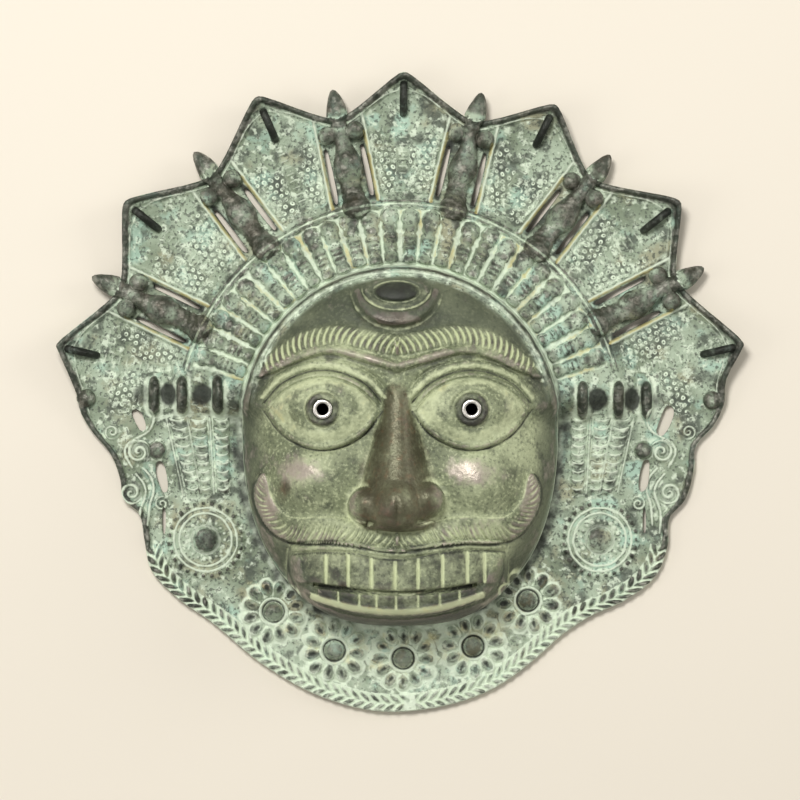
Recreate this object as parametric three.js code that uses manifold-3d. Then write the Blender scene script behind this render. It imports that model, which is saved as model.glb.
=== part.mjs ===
// A cast bronze face mask with a halo of lotus petals, lying on its back: +X to the viewer's right,
// +Y up the face and +Z out of it. The casting is one hollow piece with two inlaid pupil rings.
// Lengths are in millimetres and angles in degrees. Places are measured from the fan's centre,
// between the eyes, and the whole is moved to the centre of its base at the end.
import * as THREE from "three";
import { mergeVertices } from "three/addons/utils/BufferGeometryUtils.js";
import Module from "manifold-3d";

const wasm = await Module();
wasm.setup();

// Driving dimensions of the casting
const WALL = 3.6;
const PETAL_TIP_RADIUS = 176.5;
const PETAL_TIP_RADII = [PETAL_TIP_RADIUS, 179, 177.8, PETAL_TIP_RADIUS, 179, 177.2, PETAL_TIP_RADIUS];
const PETAL_TIP_ROUND = 0.07;
const PETAL_FOOT_RADIUS = 156.5;
const PETAL_TIP_RISE = 9;
const PETAL_SHARPNESS = 1.45;
const CROWN_RADIUS = 109;
const FLAT_INNER = 129;
const FLAT_OUTER = 141;
const BIB_FLAT_SHARE = 0.74;
const BIB_FLAT_INSET = 3;

// The casting is hand modelled, so each petal and each column keeps its own angle.
const PETAL_ANGLES = [13.1, 38.6, 64.1, 89.4, 113.6, 141.0, 167.1];
const COLUMN_ANGLES = [27.3, 52.1, 76.3, 101.5, 127.1, 154.2];

// The outline below the lowest petals, as angle and radius, from the left petal round to the right one
const LOWER_OUTLINE = [
  [167.1, 176.5], [171, 168.5], [174.5, 163], [178, 160], [181, 155], [185, 147], [191, 143],
  [195, 143.5], [198.5, 138.5], [204, 140.5], [210, 144.5], [217, 142], [226, 137], [240, 138.5],
  [254, 142], [265, 144], [277, 143], [289, 140.5], [300, 135.5], [308, 133], [315, 135.5],
  [322, 143], [330, 149], [336, 147], [341, 143], [345, 147.5], [351, 149], [356.5, 149.5],
  [360, 157.5], [363.5, 162.5], [368, 165], [373.1, 176.5],
];

const FACE = {
  centreX: -1.5,
  halfWidth: 79,
  chinReach: 100,
  jawSquareness: 2.4,
  plateau: 58,
  crownRim: 24,
  crownOuter: 13,
  jawRim: 9,
  innerInset: 4.4,
};
const MUZZLE = { y: -72, halfWidth: 55, halfHeight: 26.5, front: 60, sweepBack: 15, power: 3 };
const CHEEK = { x: 43, y: -28, rise: 7, spread: 19 };
const EYE = { x: 36.5, y: 8, halfWidth: 28.5, halfHeight: 20, bulge: 9, irisRadius: 8.4 };
const LIDS = { width: 1.9, upper: 16.5, lower: 19.5, fullness: 0.8 };
const PUPIL = { hole: 2.9, ring: 4.8, thickness: 2.2, gap: 0.3, proud: 2.6 };
const NOSE = { topY: 27, tipY: -42, underY: -51.5, rise: 25, bridge: 5.5, tip: 17, wall: 3.6 };
const NOSE_WINGS = [
  { x: -16, y: -39.5, radius: 9, rise: 8 },
  { x: 15.5, y: -35, radius: 8.5, rise: 9 },
];
const BROW_HAIR = { path: [[-2, 39], [14, 42], [29, 44.5], [45, 42], [56, 36], [67, 28]], strokes: 12 };
const BROW_RIDGE = { path: [[-1, 28.5], [14, 33], [32, 37.5], [46, 35], [58, 29.5], [71, 25]], width: 3 };
const MOUSTACHE = {
  path: [[-2, -56.5], [20, -52.5], [42, -53.5], [57, -48.5], [65.5, -37], [67, -24]],
  strokes: 12,
};
const UPPER_LIP = { path: [[-52, -60], [-26, -59.5], [0, -62.5], [26, -59.5], [55, -59]], width: 2.2 };
const LOWER_LIP = { path: [[-43, -84.5], [-22, -91], [0, -93.5], [22, -91], [43, -84]], width: 2.4 };
const TEETH = { upperTop: -64.5, upperFoot: -82, lowerTop: -84, lowerFoot: -90.5, upper: 9, lower: 8 };
const TOOTH_PITCH = 11.4;
const LOWER_TOOTH_PITCH = 10;
const THIRD_EYE = { y: 66, halfWidth: 10, halfHeight: 4.8, lidY: 60, lidHalfWidth: 21, lidDrop: 12 };

const BALUSTERS = { count: 26, from: 19, to: 161 };
const BALUSTER_PROFILE = [[82, 2.8], [89, 1.9], [97, 3], [104, 4.4], [109, 2.4]];
const COLUMN_PROFILE = [
  [106, 5.5], [111, 7.6], [118, 5.2], [131, 8], [143, 4.2], [152, 4], [158, 5.6], [171, 0.9],
];
const COLUMN_AXIS_HEIGHT = { inner: 14, outer: 8 };
const COLUMN_BEAD = { radius: 4.3, ring: 149, side: 7.2 };
const SLIT = { from: 115, to: 142, offset: 9.2, width: 2.3 };
const STAPLE = { from: 156, to: 171.5, lift: 4.6, width: 2.6, height: 1.9 };
const EDGE_ROLL = { width: 2.2, height: 2 };
const FOREHEAD_ROLL = { inner: 0.955, crest: 0.985, height: 3 };

const ROSETTES = [[-63.5, -93.5], [-33, -113], [1.5, -117], [36.5, -111], [64, -88]];
const ROSETTE = { petals: 9, radius: 16.5 };
const EAR_DISCS = [[-97.5, -57.5], [100, -57.5]];
const EAR_DISC = { teeth: 9, radius: 19.5 };
const TEMPLE_BARS = { leftY: 15, rightY: 12.5, profile: [
  [78, 6], [86, 5.5], [91, 8.8], [96, 5.5], [104, 5.5], [109, 8.8], [114, 5.5], [123, 8.4], [127, 4],
] };
const SCALE_STRIPS = [
  { top: [112.5, 5], foot: [104.5, -34] },
  { top: [101.5, 5], foot: [97.5, -34] },
  { top: [90, 5], foot: [88.5, -34] },
];
const SCROLLS = [
  { x: -136.5, y: -14, turn: 1 },
  { x: -134.5, y: -36, turn: -1 },
  { x: 137.5, y: -12, turn: -1 },
  { x: 139.5, y: -35, turn: 1 },
];
const SCROLL_RADIUS = 7;
const EDGE_BOSSES = [[-157.5, 13.5], [156.5, 12.5]];
const PIERCINGS = [
  { x: -131, y: 2.5, width: 4.5, length: 11.5, lean: 24 },
  { x: -119.5, y: -26, width: 4.7, length: 15, lean: 12 },
  { x: -118.5, y: -48, width: 1.6, length: 15, lean: 0 },
  { x: 133, y: 2, width: 5.5, length: 16, lean: -22 },
  { x: 122.5, y: -25.5, width: 4.5, length: 15.5, lean: -8 },
  { x: 122.5, y: -48, width: 1.6, length: 13, lean: 0 },
];
const LEAF_BORDER = { from: 206, to: 335, dip: 1.7 };

const DEG = Math.PI / 180;
const UP = new THREE.Vector3(0, 0, 1);
const clamp = THREE.MathUtils.clamp;
const lerp = THREE.MathUtils.lerp;
const ease = (low, high, v) => THREE.MathUtils.smoothstep(v, low, high);
const roundCap = (d) => Math.sqrt(Math.max(0, 1 - d * d));
const turnOf = (x, y) => (Math.atan2(y, x) / DEG + 360) % 360;
const polar = (r, angle) => [r * Math.cos(angle * DEG), r * Math.sin(angle * DEG)];

// Outlines and heights of the casting's front and back

// A smooth curve through [angle, radius] pairs, with the slope at each pair from its neighbours
function alongOutline(points, angle) {
  let i = 0;
  while (i < points.length - 2 && points[i + 1][0] <= angle) i += 1;
  const [a0, r0] = points[i];
  const [a1, r1] = points[i + 1];
  const [ab, rb] = points[Math.max(0, i - 1)];
  const [ac, rc] = points[Math.min(points.length - 1, i + 2)];
  const width = a1 - a0;
  const t = clamp((angle - a0) / width, 0, 1);
  const leave = (width * (r1 - rb)) / (a1 - ab);
  const arrive = (width * (rc - r0)) / (ac - a0);
  const [t2, t3] = [t * t, t * t * t];
  return (2 * t3 - 3 * t2 + 1) * r0 + (t3 - 2 * t2 + t) * leave + (3 * t2 - 2 * t3) * r1 + (t3 - t2) * arrive;
}

// Each petal's edge falls from its slightly rounded tip to the column beside it.
function outlineRadius(angle) {
  const last = PETAL_ANGLES.length - 1;
  if (angle < PETAL_ANGLES[0]) return alongOutline(LOWER_OUTLINE, angle + 360);
  if (angle > PETAL_ANGLES[last]) return alongOutline(LOWER_OUTLINE, angle);
  const side = Math.max(1, PETAL_ANGLES.findIndex((petal) => petal >= angle));
  const column = COLUMN_ANGLES[side - 1];
  const petal = angle < column ? side - 1 : side;
  const tip = PETAL_ANGLES[petal];
  const rounded = (share) => Math.hypot(share, PETAL_TIP_ROUND) - PETAL_TIP_ROUND;
  const share = Math.max(0, 1 - rounded((angle - tip) / (column - tip)) / rounded(1)) ** PETAL_SHARPNESS;
  return lerp(PETAL_FOOT_RADIUS, PETAL_TIP_RADII[petal], share);
}

// Half a circle above the eyes and half a squarish ellipse down to the chin
function faceRadius(angle) {
  const [c, s] = polar(1, angle);
  if (s >= 0) return FACE.halfWidth;
  const power = FACE.jawSquareness;
  return (Math.abs(c / FACE.halfWidth) ** power + Math.abs(s / FACE.chinReach) ** power) ** (-1 / power);
}

const haloShare = (angle) => ease(1, 9, angle > 270 ? -1 : Math.min(angle, 180 - angle));

// Height of the halo and the bib, outside the face
function flangeHeight(x, y) {
  const r = Math.hypot(x, y);
  const angle = turnOf(x, y);
  const inner = faceRadius(angle);
  const outer = outlineRadius(angle);
  const curl = Math.max(0, (r - FLAT_OUTER) / (PETAL_TIP_RADIUS - FLAT_OUTER)) ** 1.5;
  const petal = WALL + PETAL_TIP_RISE * curl;
  const band = lerp(FACE.crownRim, FACE.crownOuter, clamp((r - inner) / (CROWN_RADIUS - inner), 0, 1));
  const foot = lerp(FACE.crownOuter, petal, ease(CROWN_RADIUS, FLAT_INNER, r));
  const bib = lerp(FACE.jawRim, WALL, ease(0, BIB_FLAT_SHARE, (r - inner) / (outer - inner)));
  return lerp(bib, r < CROWN_RADIUS ? band : foot, haloShare(angle));
}

const domeShare = (s) => Math.sqrt(Math.max(0, 1 - s ** 3));

// The jutting mouth, a swept-back block with round shoulders
function withMuzzle(height, x, y, inset) {
  const across = Math.abs(x - FACE.centreX) / (MUZZLE.halfWidth - inset);
  const up = Math.abs(y - MUZZLE.y) / (MUZZLE.halfHeight - inset);
  const front = MUZZLE.front - inset - MUZZLE.sweepBack * across ** 2;
  const fullness = Math.sqrt(Math.max(0, 1 - across ** MUZZLE.power - up ** MUZZLE.power));
  return height + Math.max(0, front - height) * fullness;
}

// The face's front, or with an inset its back: a dome with full cheeks and the muzzle
function faceHeight(x, y, inset) {
  const angle = turnOf(x, y);
  const edge = faceRadius(angle) - (inset > 0 ? FACE.innerInset : 0);
  const s = Math.hypot(x, y) / edge;
  const rim = Math.max(0, flangeHeight(...polar(edge, angle)) - inset);
  const dome = lerp(rim, FACE.plateau - inset, domeShare(s));
  const cheekAt = Math.hypot(Math.abs(x - FACE.centreX) - CHEEK.x, y - CHEEK.y) / CHEEK.spread;
  const cheek = CHEEK.rise * Math.exp(-cheekAt * cheekAt) * ease(0, 0.2, 1 - s);
  const [eyeX, eyeY] = [Math.abs(x - FACE.centreX) - EYE.x, y - EYE.y];
  const eyeAt = Math.hypot(eyeX / EYE.halfWidth, eyeY / EYE.halfHeight);
  const eyeball = inset > 0 ? 0 : EYE.bulge * Math.max(0, 1 - eyeAt ** 2.5);
  return withMuzzle(dome + cheek + eyeball, x, y, inset);
}

function frontHeight(x, y) {
  const inFace = Math.hypot(x, y) < faceRadius(turnOf(x, y));
  return inFace ? faceHeight(x, y, 0) : flangeHeight(x, y);
}

function backHeight(x, y) {
  const inFace = Math.hypot(x, y) < faceRadius(turnOf(x, y)) - FACE.innerInset;
  return inFace ? faceHeight(x, y, WALL) : Math.max(0, flangeHeight(x, y) - WALL);
}

// Closed bodies

// Joins rings of points into one closed body. Rings may differ in their number of points:
// `turns` says how far round each point lies, and the two end rings are closed by fans.
function bodyFromRings(rings, turns = rings.map((ring) => ring.map((_, i) => i / ring.length))) {
  const starts = [];
  const points = [];
  for (const ring of rings) {
    starts.push(points.length);
    points.push(...ring);
  }
  const faces = [];
  for (let k = 0; k + 1 < rings.length; k += 1) {
    const [n, m] = [rings[k].length, rings[k + 1].length];
    const [nextA, nextB] = [[...turns[k], 1], [...turns[k + 1], 1]];
    for (let i = 0, j = 0; i < n || j < m; ) {
      const a = starts[k] + (i % n);
      const b = starts[k + 1] + (j % m);
      if (j >= m || (i < n && nextA[i + 1] <= nextB[j + 1])) {
        i += 1;
        if (n > 1) faces.push(a, b, starts[k] + (i % n));
      } else {
        j += 1;
        if (m > 1) faces.push(a, b, starts[k + 1] + (j % m));
      }
    }
  }
  const end = starts[rings.length - 1];
  for (let i = 1; i + 1 < rings[0].length; i += 1) faces.push(0, i, i + 1);
  for (let i = 1; i + 1 < rings[rings.length - 1].length; i += 1) faces.push(end, end + i + 1, end + i);
  const geometry = new THREE.BufferGeometry().setFromPoints(points);
  geometry.setIndex(faces);
  return geometry;
}

function solid(geometry) {
  const bare = geometry.clone();
  bare.deleteAttribute("normal");
  bare.deleteAttribute("uv");
  const merged = mergeVertices(bare, 1e-4);
  const vertProperties = new Float32Array(merged.attributes.position.array);
  const made = (triVerts) => new wasm.Manifold(new wasm.Mesh({ numProp: 3, vertProperties, triVerts }));
  const asDrawn = made(new Uint32Array(merged.index.array));
  if (asDrawn.volume() > 0) return asDrawn;
  return made(new Uint32Array(merged.index.array).reverse());
}

function geometryOf(made) {
  const mesh = made.getMesh();
  const geometry = new THREE.BufferGeometry();
  geometry.setAttribute("position", new THREE.BufferAttribute(new Float32Array(mesh.vertProperties), 3));
  geometry.setIndex(new THREE.BufferAttribute(new Uint32Array(mesh.triVerts), 1));
  return geometry;
}

// Joins leave many short edges and flat slivers. This draws an edge's one end into the other where
// the edge is short, or where the surface round it is nearly flat, so the form stays as it is.
const THIN_JOINS = { short: 1.5, shortBend: 0.6, flat: 9, flatBend: 0.99 };
const THIN_CUTS = { short: 0.25, shortBend: 0.2, flat: 0.5, flatBend: 0.99 };
const SLIVER = 0.02;

function thinned(made, rule) {
  const mesh = made.getMesh();
  const at = Array.from({ length: mesh.numVert }, (_, i) =>
    new THREE.Vector3().fromArray(mesh.vertProperties, i * mesh.numProp),
  );
  const faces = Array.from({ length: mesh.numTri }, (_, i) => [...mesh.triVerts.subarray(i * 3, i * 3 + 3)]);
  const around = at.map(() => new Set());
  faces.forEach((face, f) => face.forEach((v) => around[v].add(f)));
  const normalOf = (a, b, c) => new THREE.Vector3().crossVectors(b.clone().sub(a), c.clone().sub(a));
  const neighbours = (v) => new Set([...around[v]].flatMap((f) => faces[f]).filter((w) => w !== v));
  const leastBend = (gone, kept) => {
    let least = 1;
    for (const f of around[gone]) {
      if (faces[f].includes(kept)) continue;
      const before = normalOf(...faces[f].map((v) => at[v]));
      const after = normalOf(...faces[f].map((v) => at[v === gone ? kept : v]));
      if (before.length() < SLIVER) continue;
      if (after.length() < SLIVER) return -1;
      least = Math.min(least, before.normalize().dot(after.normalize()));
    }
    return least;
  };
  const mayGo = (gone, kept) => {
    const length = at[gone].distanceTo(at[kept]);
    if (length > rule.flat || (at[gone].z === 0 && at[kept].z !== 0)) return false;
    const shared = [...neighbours(gone)].filter((v) => neighbours(kept).has(v));
    if (shared.length !== 2) return false;
    return leastBend(gone, kept) > (length < rule.short ? rule.shortBend : rule.flatBend);
  };
  for (let pass = 0; pass < 3; pass += 1) {
    for (let gone = 0; gone < at.length; gone += 1) {
      const reach = (v) => at[v].distanceTo(at[gone]);
      const kept = [...neighbours(gone)].sort((v, w) => reach(v) - reach(w)).find((v) => mayGo(gone, v));
      if (kept === undefined) continue;
      for (const f of [...around[gone]]) {
        if (faces[f].includes(kept)) faces[f].forEach((v) => around[v].delete(f));
        else {
          faces[f] = faces[f].map((v) => (v === gone ? kept : v));
          around[kept].add(f);
        }
      }
      around[gone].clear();
    }
  }
  const used = new Set(around.flatMap((set) => [...set]));
  const geometry = new THREE.BufferGeometry().setFromPoints(at);
  geometry.setIndex([...used].flatMap((f) => faces[f]));
  return solid(geometry.toNonIndexed());
}

// A rod through stations { x, y, z, w, h }, where w is half its width in the plan and h half its height
function rod(stations, sides) {
  const at = (i) => {
    const s = stations[clamp(i, 0, stations.length - 1)];
    return new THREE.Vector3(s.x, s.y, s.z);
  };
  const rings = stations.map((s, i) => {
    const ahead = at(i + 1).sub(at(i - 1)).normalize();
    const across = new THREE.Vector3().crossVectors(ahead, UP).normalize();
    const above = new THREE.Vector3().crossVectors(across, ahead);
    return Array.from({ length: sides }, (_, k) => {
      const turn = (2 * Math.PI * (k + 0.5)) / sides;
      const point = at(i).addScaledVector(across, s.w * Math.cos(turn));
      return point.addScaledVector(above, s.h * Math.sin(turn));
    });
  });
  return solid(bodyFromRings(rings));
}

const onFront = (x, y, lift, w, h = w) => ({ x, y, z: frontHeight(x, y) + lift, w, h });

// Evenly spaced points on a smooth plan curve through a few [x, y] points
function curvePoints(path, steps) {
  const curve = new THREE.SplineCurve(path.map(([x, y]) => new THREE.Vector2(x, y)));
  return curve.getSpacedPoints(steps);
}

// A rod on the front whose size swells and pinches, once for each lock of hair, leaf or scale
function ribbed(path, strokes, widthAt, heightAt, sides) {
  const stations = curvePoints(path, 2 * strokes).map((p, i) => {
    const t = i / (2 * strokes);
    const swell = i % 2 === 1 ? 1 : 0.62;
    return onFront(p.x, p.y, 0, widthAt(t) * (0.8 + 0.2 * swell), heightAt(t) * swell);
  });
  return rod(stations, sides);
}

function ball(x, y, z, [rx, ry, rz], across = 7, down = 5) {
  const geometry = new THREE.SphereGeometry(1, across, down);
  geometry.rotateX(Math.PI / 2);
  geometry.scale(rx, ry, rz);
  geometry.translate(x, y, z);
  return solid(geometry);
}

function bead(x, y, z, radius) {
  const geometry = new THREE.IcosahedronGeometry(radius, 0);
  geometry.translate(x, y, z);
  return solid(geometry);
}

function box(x, y, width, length, lean, low, high) {
  const geometry = new THREE.BoxGeometry(width, length, high - low);
  geometry.rotateZ(lean * DEG);
  geometry.translate(x, y, (low + high) / 2);
  return solid(geometry);
}

function postHole(x, y, radius, low, high) {
  const geometry = new THREE.CylinderGeometry(radius, radius, high - low, 14);
  geometry.rotateX(Math.PI / 2);
  geometry.translate(x, y, (low + high) / 2);
  return solid(geometry);
}

// A disc on the front with lobes round its edge. Each ring is [radius, height, dip between lobes].
function lobedDisc([cx, cy], lobes, radius, profile) {
  const count = lobes * 2;
  const rings = profile.map(([share, height, dip]) =>
    Array.from({ length: count }, (_, k) => {
      const out = radius * (share - (k % 2) * dip * 0.12);
      const x = cx + out * Math.cos((2 * Math.PI * k) / count);
      const y = cy + out * Math.sin((2 * Math.PI * k) / count);
      return new THREE.Vector3(x, y, frontHeight(x, y) + height - (k % 2) * dip);
    }),
  );
  return solid(bodyFromRings(rings));
}

// The hollow shell: rings run out over the front, round the edge, and back in behind it.
const PETAL_STOPS = [0.18, 0.42, 0.7, 1];

function edgeAngles() {
  const angles = [];
  for (let i = 0; i < COLUMN_ANGLES.length; i += 1) {
    const [right, column, left] = [PETAL_ANGLES[i], COLUMN_ANGLES[i], PETAL_ANGLES[i + 1]];
    angles.push(right, ...PETAL_STOPS.map((stop) => lerp(right, column, stop)));
    angles.push(...PETAL_STOPS.slice(0, -1).reverse().map((stop) => lerp(left, column, stop)));
  }
  const start = PETAL_ANGLES[PETAL_ANGLES.length - 1];
  const steps = 56;
  for (let i = 0; i < steps; i += 1) angles.push(lerp(start, PETAL_ANGLES[0] + 360, i / steps));
  return angles;
}

function castingShell() {
  const edge = edgeAngles();
  const start = PETAL_ANGLES[0];
  const even = (n) => Array.from({ length: n }, (_, i) => start + (360 * i) / n);
  const bibMiddle = (a, share) => lerp(faceRadius(a), outlineRadius(a), share);
  const crown = (a) => lerp(bibMiddle(a, 0.36), CROWN_RADIUS, haloShare(a));
  const flatIn = (a) => lerp(bibMiddle(a, BIB_FLAT_SHARE), FLAT_INNER, haloShare(a));
  const flatOut = (a) => lerp(outlineRadius(a) - BIB_FLAT_INSET, FLAT_OUTER, haloShare(a));
  const onFace = (share) => (a) => share * faceRadius(a);
  const behind = (share) => (a) => share * (faceRadius(a) - FACE.innerInset);
  const undersideOf = (x, y) => Math.max(0, frontHeight(x, y) - WALL);
  const faceRings = [0.14, 0.3, 0.44, 0.57, 0.68, 0.78, 0.87, 0.94];
  const leafDip = (angle, k) =>
    angle > LEAF_BORDER.from && angle < LEAF_BORDER.to ? LEAF_BORDER.dip * (k % 2) : 0;
  const edgeLift = (x, y, k) => frontHeight(x, y) + EDGE_ROLL.height - leafDip(turnOf(x, y), k);
  const besideLift = (x, y, k) => frontHeight(x, y) + leafDip(turnOf(x, y), k + 1);
  const rimLift = (x, y) => frontHeight(x, y) + FOREHEAD_ROLL.height * haloShare(turnOf(x, y));
  const layout = [
    ...faceRings.map((share) => [even(share < 0.2 ? 20 : 44), onFace(share), frontHeight]),
    [even(44), onFace(FOREHEAD_ROLL.inner), frontHeight],
    [even(44), onFace(FOREHEAD_ROLL.crest), rimLift],
    [even(44), onFace(1.01), frontHeight],
    [even(60), (a) => crown(a) - 0.4, frontHeight],
    [edge, flatIn, frontHeight],
    [edge, (a) => outlineRadius(a) - 3 * EDGE_ROLL.width, besideLift],
    [edge, (a) => outlineRadius(a) - EDGE_ROLL.width, edgeLift],
    [edge, outlineRadius, frontHeight],
    [edge, outlineRadius, undersideOf],
    [even(60), flatOut, () => 0],
    [even(48), flatIn, () => 0],
    [even(32), crown, backHeight],
    [even(32), behind(1.01), backHeight],
    ...[0.98, 0.9, 0.76, 0.5, 0.25].map((share) => [even(share < 0.4 ? 12 : 24), behind(share), backHeight]),
  ];
  const rings = layout.map(([angles, radiusAt, heightAt]) =>
    angles.map((angle, k) => {
      const turn = angle % 360;
      const [x, y] = polar(radiusAt(turn), turn);
      return new THREE.Vector3(x, y, heightAt(x, y, k));
    }),
  );
  const turns = layout.map(([angles]) => angles.map((angle) => (angle - start) / 360));
  const front = new THREE.Vector3(0, 0, frontHeight(0, 0));
  const back = new THREE.Vector3(0, 0, backHeight(0, 0));
  return solid(bodyFromRings([[front], ...rings, [back]], [[0], ...turns, [0]]));
}

// The face

// The nose as a row of arches down the bridge. With an inset it is the hollow behind the nose.
function nose(inset) {
  const downs = [0, 0.15, 0.4, 0.65, 0.84, 1, 1.08, 1.13];
  const sink = inset > 0 ? 2.5 * WALL : WALL / 2;
  const points = inset > 0 ? 6 : 8;
  const rings = [];
  for (const down of downs) {
    const y = NOSE.topY - down * (NOSE.topY - NOSE.tipY);
    const along = Math.min(1, down);
    const under = roundCap(Math.max(0, NOSE.tipY - y) / (NOSE.tipY - NOSE.underY + 0.5));
    const width = lerp(NOSE.bridge, NOSE.tip, along ** 1.6) * (0.45 + 0.55 * under) - inset;
    const rise = NOSE.rise * (0.12 + 0.88 * along ** 1.3) * under - inset;
    if (width < 1 || rise < 0.5) continue;
    const base = frontHeight(FACE.centreX, y) - sink;
    rings.push(
      Array.from({ length: points }, (_, k) => {
        const turn = (Math.PI * k) / (points - 1);
        const x = FACE.centreX + width * Math.cos(turn);
        return new THREE.Vector3(x, y, base + (rise + sink) * Math.sin(turn) ** 0.8);
      }),
    );
  }
  return solid(bodyFromRings(rings));
}

function eyeParts(side) {
  const x = FACE.centreX + side * EYE.x;
  const lid = (reach) =>
    rod(
      Array.from({ length: 9 }, (_, i) => {
        const u = -1 + i / 4;
        const arch = Math.max(0, 1 - u * u) ** LIDS.fullness;
        const width = LIDS.width * (0.55 + 0.45 * arch);
        return onFront(x + u * EYE.halfWidth, EYE.y + reach * arch, 0.4, width * 1.2, 3.2);
      }),
      4,
    );
  const iris = new THREE.CylinderGeometry(EYE.irisRadius - 1.4, EYE.irisRadius, 5, 14);
  iris.rotateX(Math.PI / 2);
  iris.translate(x, EYE.y, irisTop(side) - 2.5);
  return [lid(LIDS.upper), lid(-LIDS.lower), solid(iris)];
}

const irisTop = (side) => frontHeight(FACE.centreX + side * EYE.x, EYE.y) + PUPIL.proud;

function mirrored(path, side) {
  return path.map(([x, y]) => [FACE.centreX + side * x, y]);
}

function browParts(side) {
  const hair = ribbed(mirrored(BROW_HAIR.path, side), BROW_HAIR.strokes, () => 5.6, () => 4.4, 3);
  const ridge = curvePoints(mirrored(BROW_RIDGE.path, side), 7).map((p, i) =>
    onFront(p.x, p.y, 0.8, BROW_RIDGE.width * (1 - 0.05 * i), 3.8 - 0.2 * i),
  );
  return [hair, rod(ridge, 4)];
}

function moustache(side) {
  const width = (t) => 6.6 - 3.2 * t * t;
  return ribbed(mirrored(MOUSTACHE.path, side), MOUSTACHE.strokes, width, () => 5, 3);
}

function lip({ path, width }, lift) {
  const stations = curvePoints(path, 8).map((p, i) => {
    const taper = 0.6 + 0.4 * roundCap((i - 4) / 4);
    return onFront(FACE.centreX + p.x, p.y, lift, width * taper, width * taper + 0.8);
  });
  return rod(stations, 4);
}

// One row of teeth, each a slab standing out of the muzzle, higher at its middle than at its edges
function teethRow(count, pitch, top, foot, dropAtEnds) {
  return Array.from({ length: count }, (_, i) => {
    const u = (i - (count - 1) / 2) * pitch;
    const rise = dropAtEnds * (u / (pitch * count * 0.5)) ** 2;
    const half = pitch / 2 - 0.7;
    const length = top - foot;
    const stations = [0, 1].map((t) =>
      onFront(FACE.centreX + u, top + rise - t * length, 0.2, half * 1.4, 3.4),
    );
    return rod(stations, 4);
  });
}

function thirdEye() {
  const { y, halfWidth, halfHeight, lidY, lidHalfWidth, lidDrop } = THIRD_EYE;
  const x = FACE.centreX;
  const pupil = ball(x, y, frontHeight(x, y) + 0.5, [halfWidth, halfHeight, 4.2], 8, 5);
  const lid = Array.from({ length: 9 }, (_, i) => {
    const u = -1 + i / 4;
    const width = 1 + 2.6 * roundCap(u);
    return onFront(x + u * lidHalfWidth, lidY + 6 - lidDrop * roundCap(u), 0.6, width, width + 0.4);
  });
  return [pupil, rod(lid, 4)];
}

// The crown, the petals and the columns

function balusters() {
  const { count, from, to } = BALUSTERS;
  return Array.from({ length: count }, (_, i) => {
    const angle = lerp(from, to, i / (count - 1));
    return rod(
      BALUSTER_PROFILE.map(([r, size]) => {
        const [x, y] = polar(r, angle);
        return onFront(x, y, 0.4, size * 0.85, size);
      }),
      4,
    );
  });
}

function columnParts(angle) {
  const { inner, outer } = COLUMN_AXIS_HEIGHT;
  const shaft = COLUMN_PROFILE.map(([r, size]) => {
    const [x, y] = polar(r, angle);
    return { x, y, z: lerp(inner, outer, ease(CROWN_RADIUS, 123, r)), w: size, h: size * 0.9 };
  });
  const beads = [-1, 1].map((side) => {
    const along = polar(COLUMN_BEAD.ring, angle);
    const across = polar(side * COLUMN_BEAD.side, angle + 90);
    const r = COLUMN_BEAD.radius;
    return bead(along[0] + across[0], along[1] + across[1], outer, r);
  });
  return [rod(shaft, 5), ...beads];
}

function slitCutters(angle) {
  return [-1, 1].map((side) => {
    const along = polar((SLIT.from + SLIT.to) / 2, angle);
    const across = polar(side * SLIT.offset, angle + 90);
    const [x, y] = [along[0] + across[0], along[1] + across[1]];
    return box(x, y, SLIT.width, SLIT.to - SLIT.from, angle - 90, -5, 40);
  });
}

// The loop on each petal's tip, a small staple standing off the metal
function staple(angle) {
  const { from, to, lift, width, height } = STAPLE;
  const arch = [0, 0.14, 0.86, 1];
  const rise = [-0.4, 0.9, 0.9, -0.4];
  const stations = arch.map((t, i) => {
    const [x, y] = polar(lerp(from, to, t), angle);
    return onFront(x, y, lift * rise[i], width, height);
  });
  return rod(stations, 4);
}

// The bib and the sides

const ROSETTE_PROFILE = [
  [1, -1.6, 0.6], [0.86, 2.6, 1.4], [0.5, 0.5, 0], [0.3, 4.2, 0],
];
const EAR_PROFILE = [
  [1, -1.6, 0.4], [0.94, 2.4, 0.8], [0.8, 0.8, 0], [0.68, 2.6, 0], [0.5, 0.6, 0], [0.28, 4.6, 0],
];

function templeBar(side) {
  const y = side < 0 ? TEMPLE_BARS.leftY : TEMPLE_BARS.rightY;
  const stations = TEMPLE_BARS.profile.map(([x, size]) => onFront(side * x, y, 1.2, size, size * 0.8));
  return rod(stations, 5);
}

function scaleStrips(side) {
  return SCALE_STRIPS.map(({ top, foot }) => {
    const path = [[side * top[0], top[1]], [side * foot[0], foot[1]]];
    return ribbed(path, 5, (t) => 5.8 - 1.8 * t, () => 3, 3);
  });
}

function scroll({ x, y, turn }) {
  const stations = Array.from({ length: 9 }, (_, i) => {
    const t = i / 8;
    const angle = 90 + turn * 470 * t;
    const [dx, dy] = polar(SCROLL_RADIUS * (1 - 0.75 * t), angle);
    return onFront(x + dx, y + dy, 0.2, 2.3 - 0.5 * t, 2.6);
  });
  return rod(stations, 3);
}

function pupilRing(side) {
  const { hole, ring, thickness } = PUPIL;
  const top = irisTop(side);
  const profile = [
    [hole, top - thickness], [ring, top - thickness], [ring, top - 0.4], [ring - 0.5, top],
    [hole + 0.4, top], [hole, top - 0.4], [hole, top - thickness],
  ].map(([r, z]) => new THREE.Vector2(r, z));
  const geometry = new THREE.LatheGeometry(profile, 14);
  geometry.rotateX(Math.PI / 2);
  geometry.translate(FACE.centreX + side * EYE.x, EYE.y, 0);
  return solid(geometry);
}

// The casting without the specks, smaller than a grain, that a join can leave where surfaces cross
const largest = (made) => made.decompose().reduce((a, b) => (b.volume() > a.volume() ? b : a));

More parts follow.
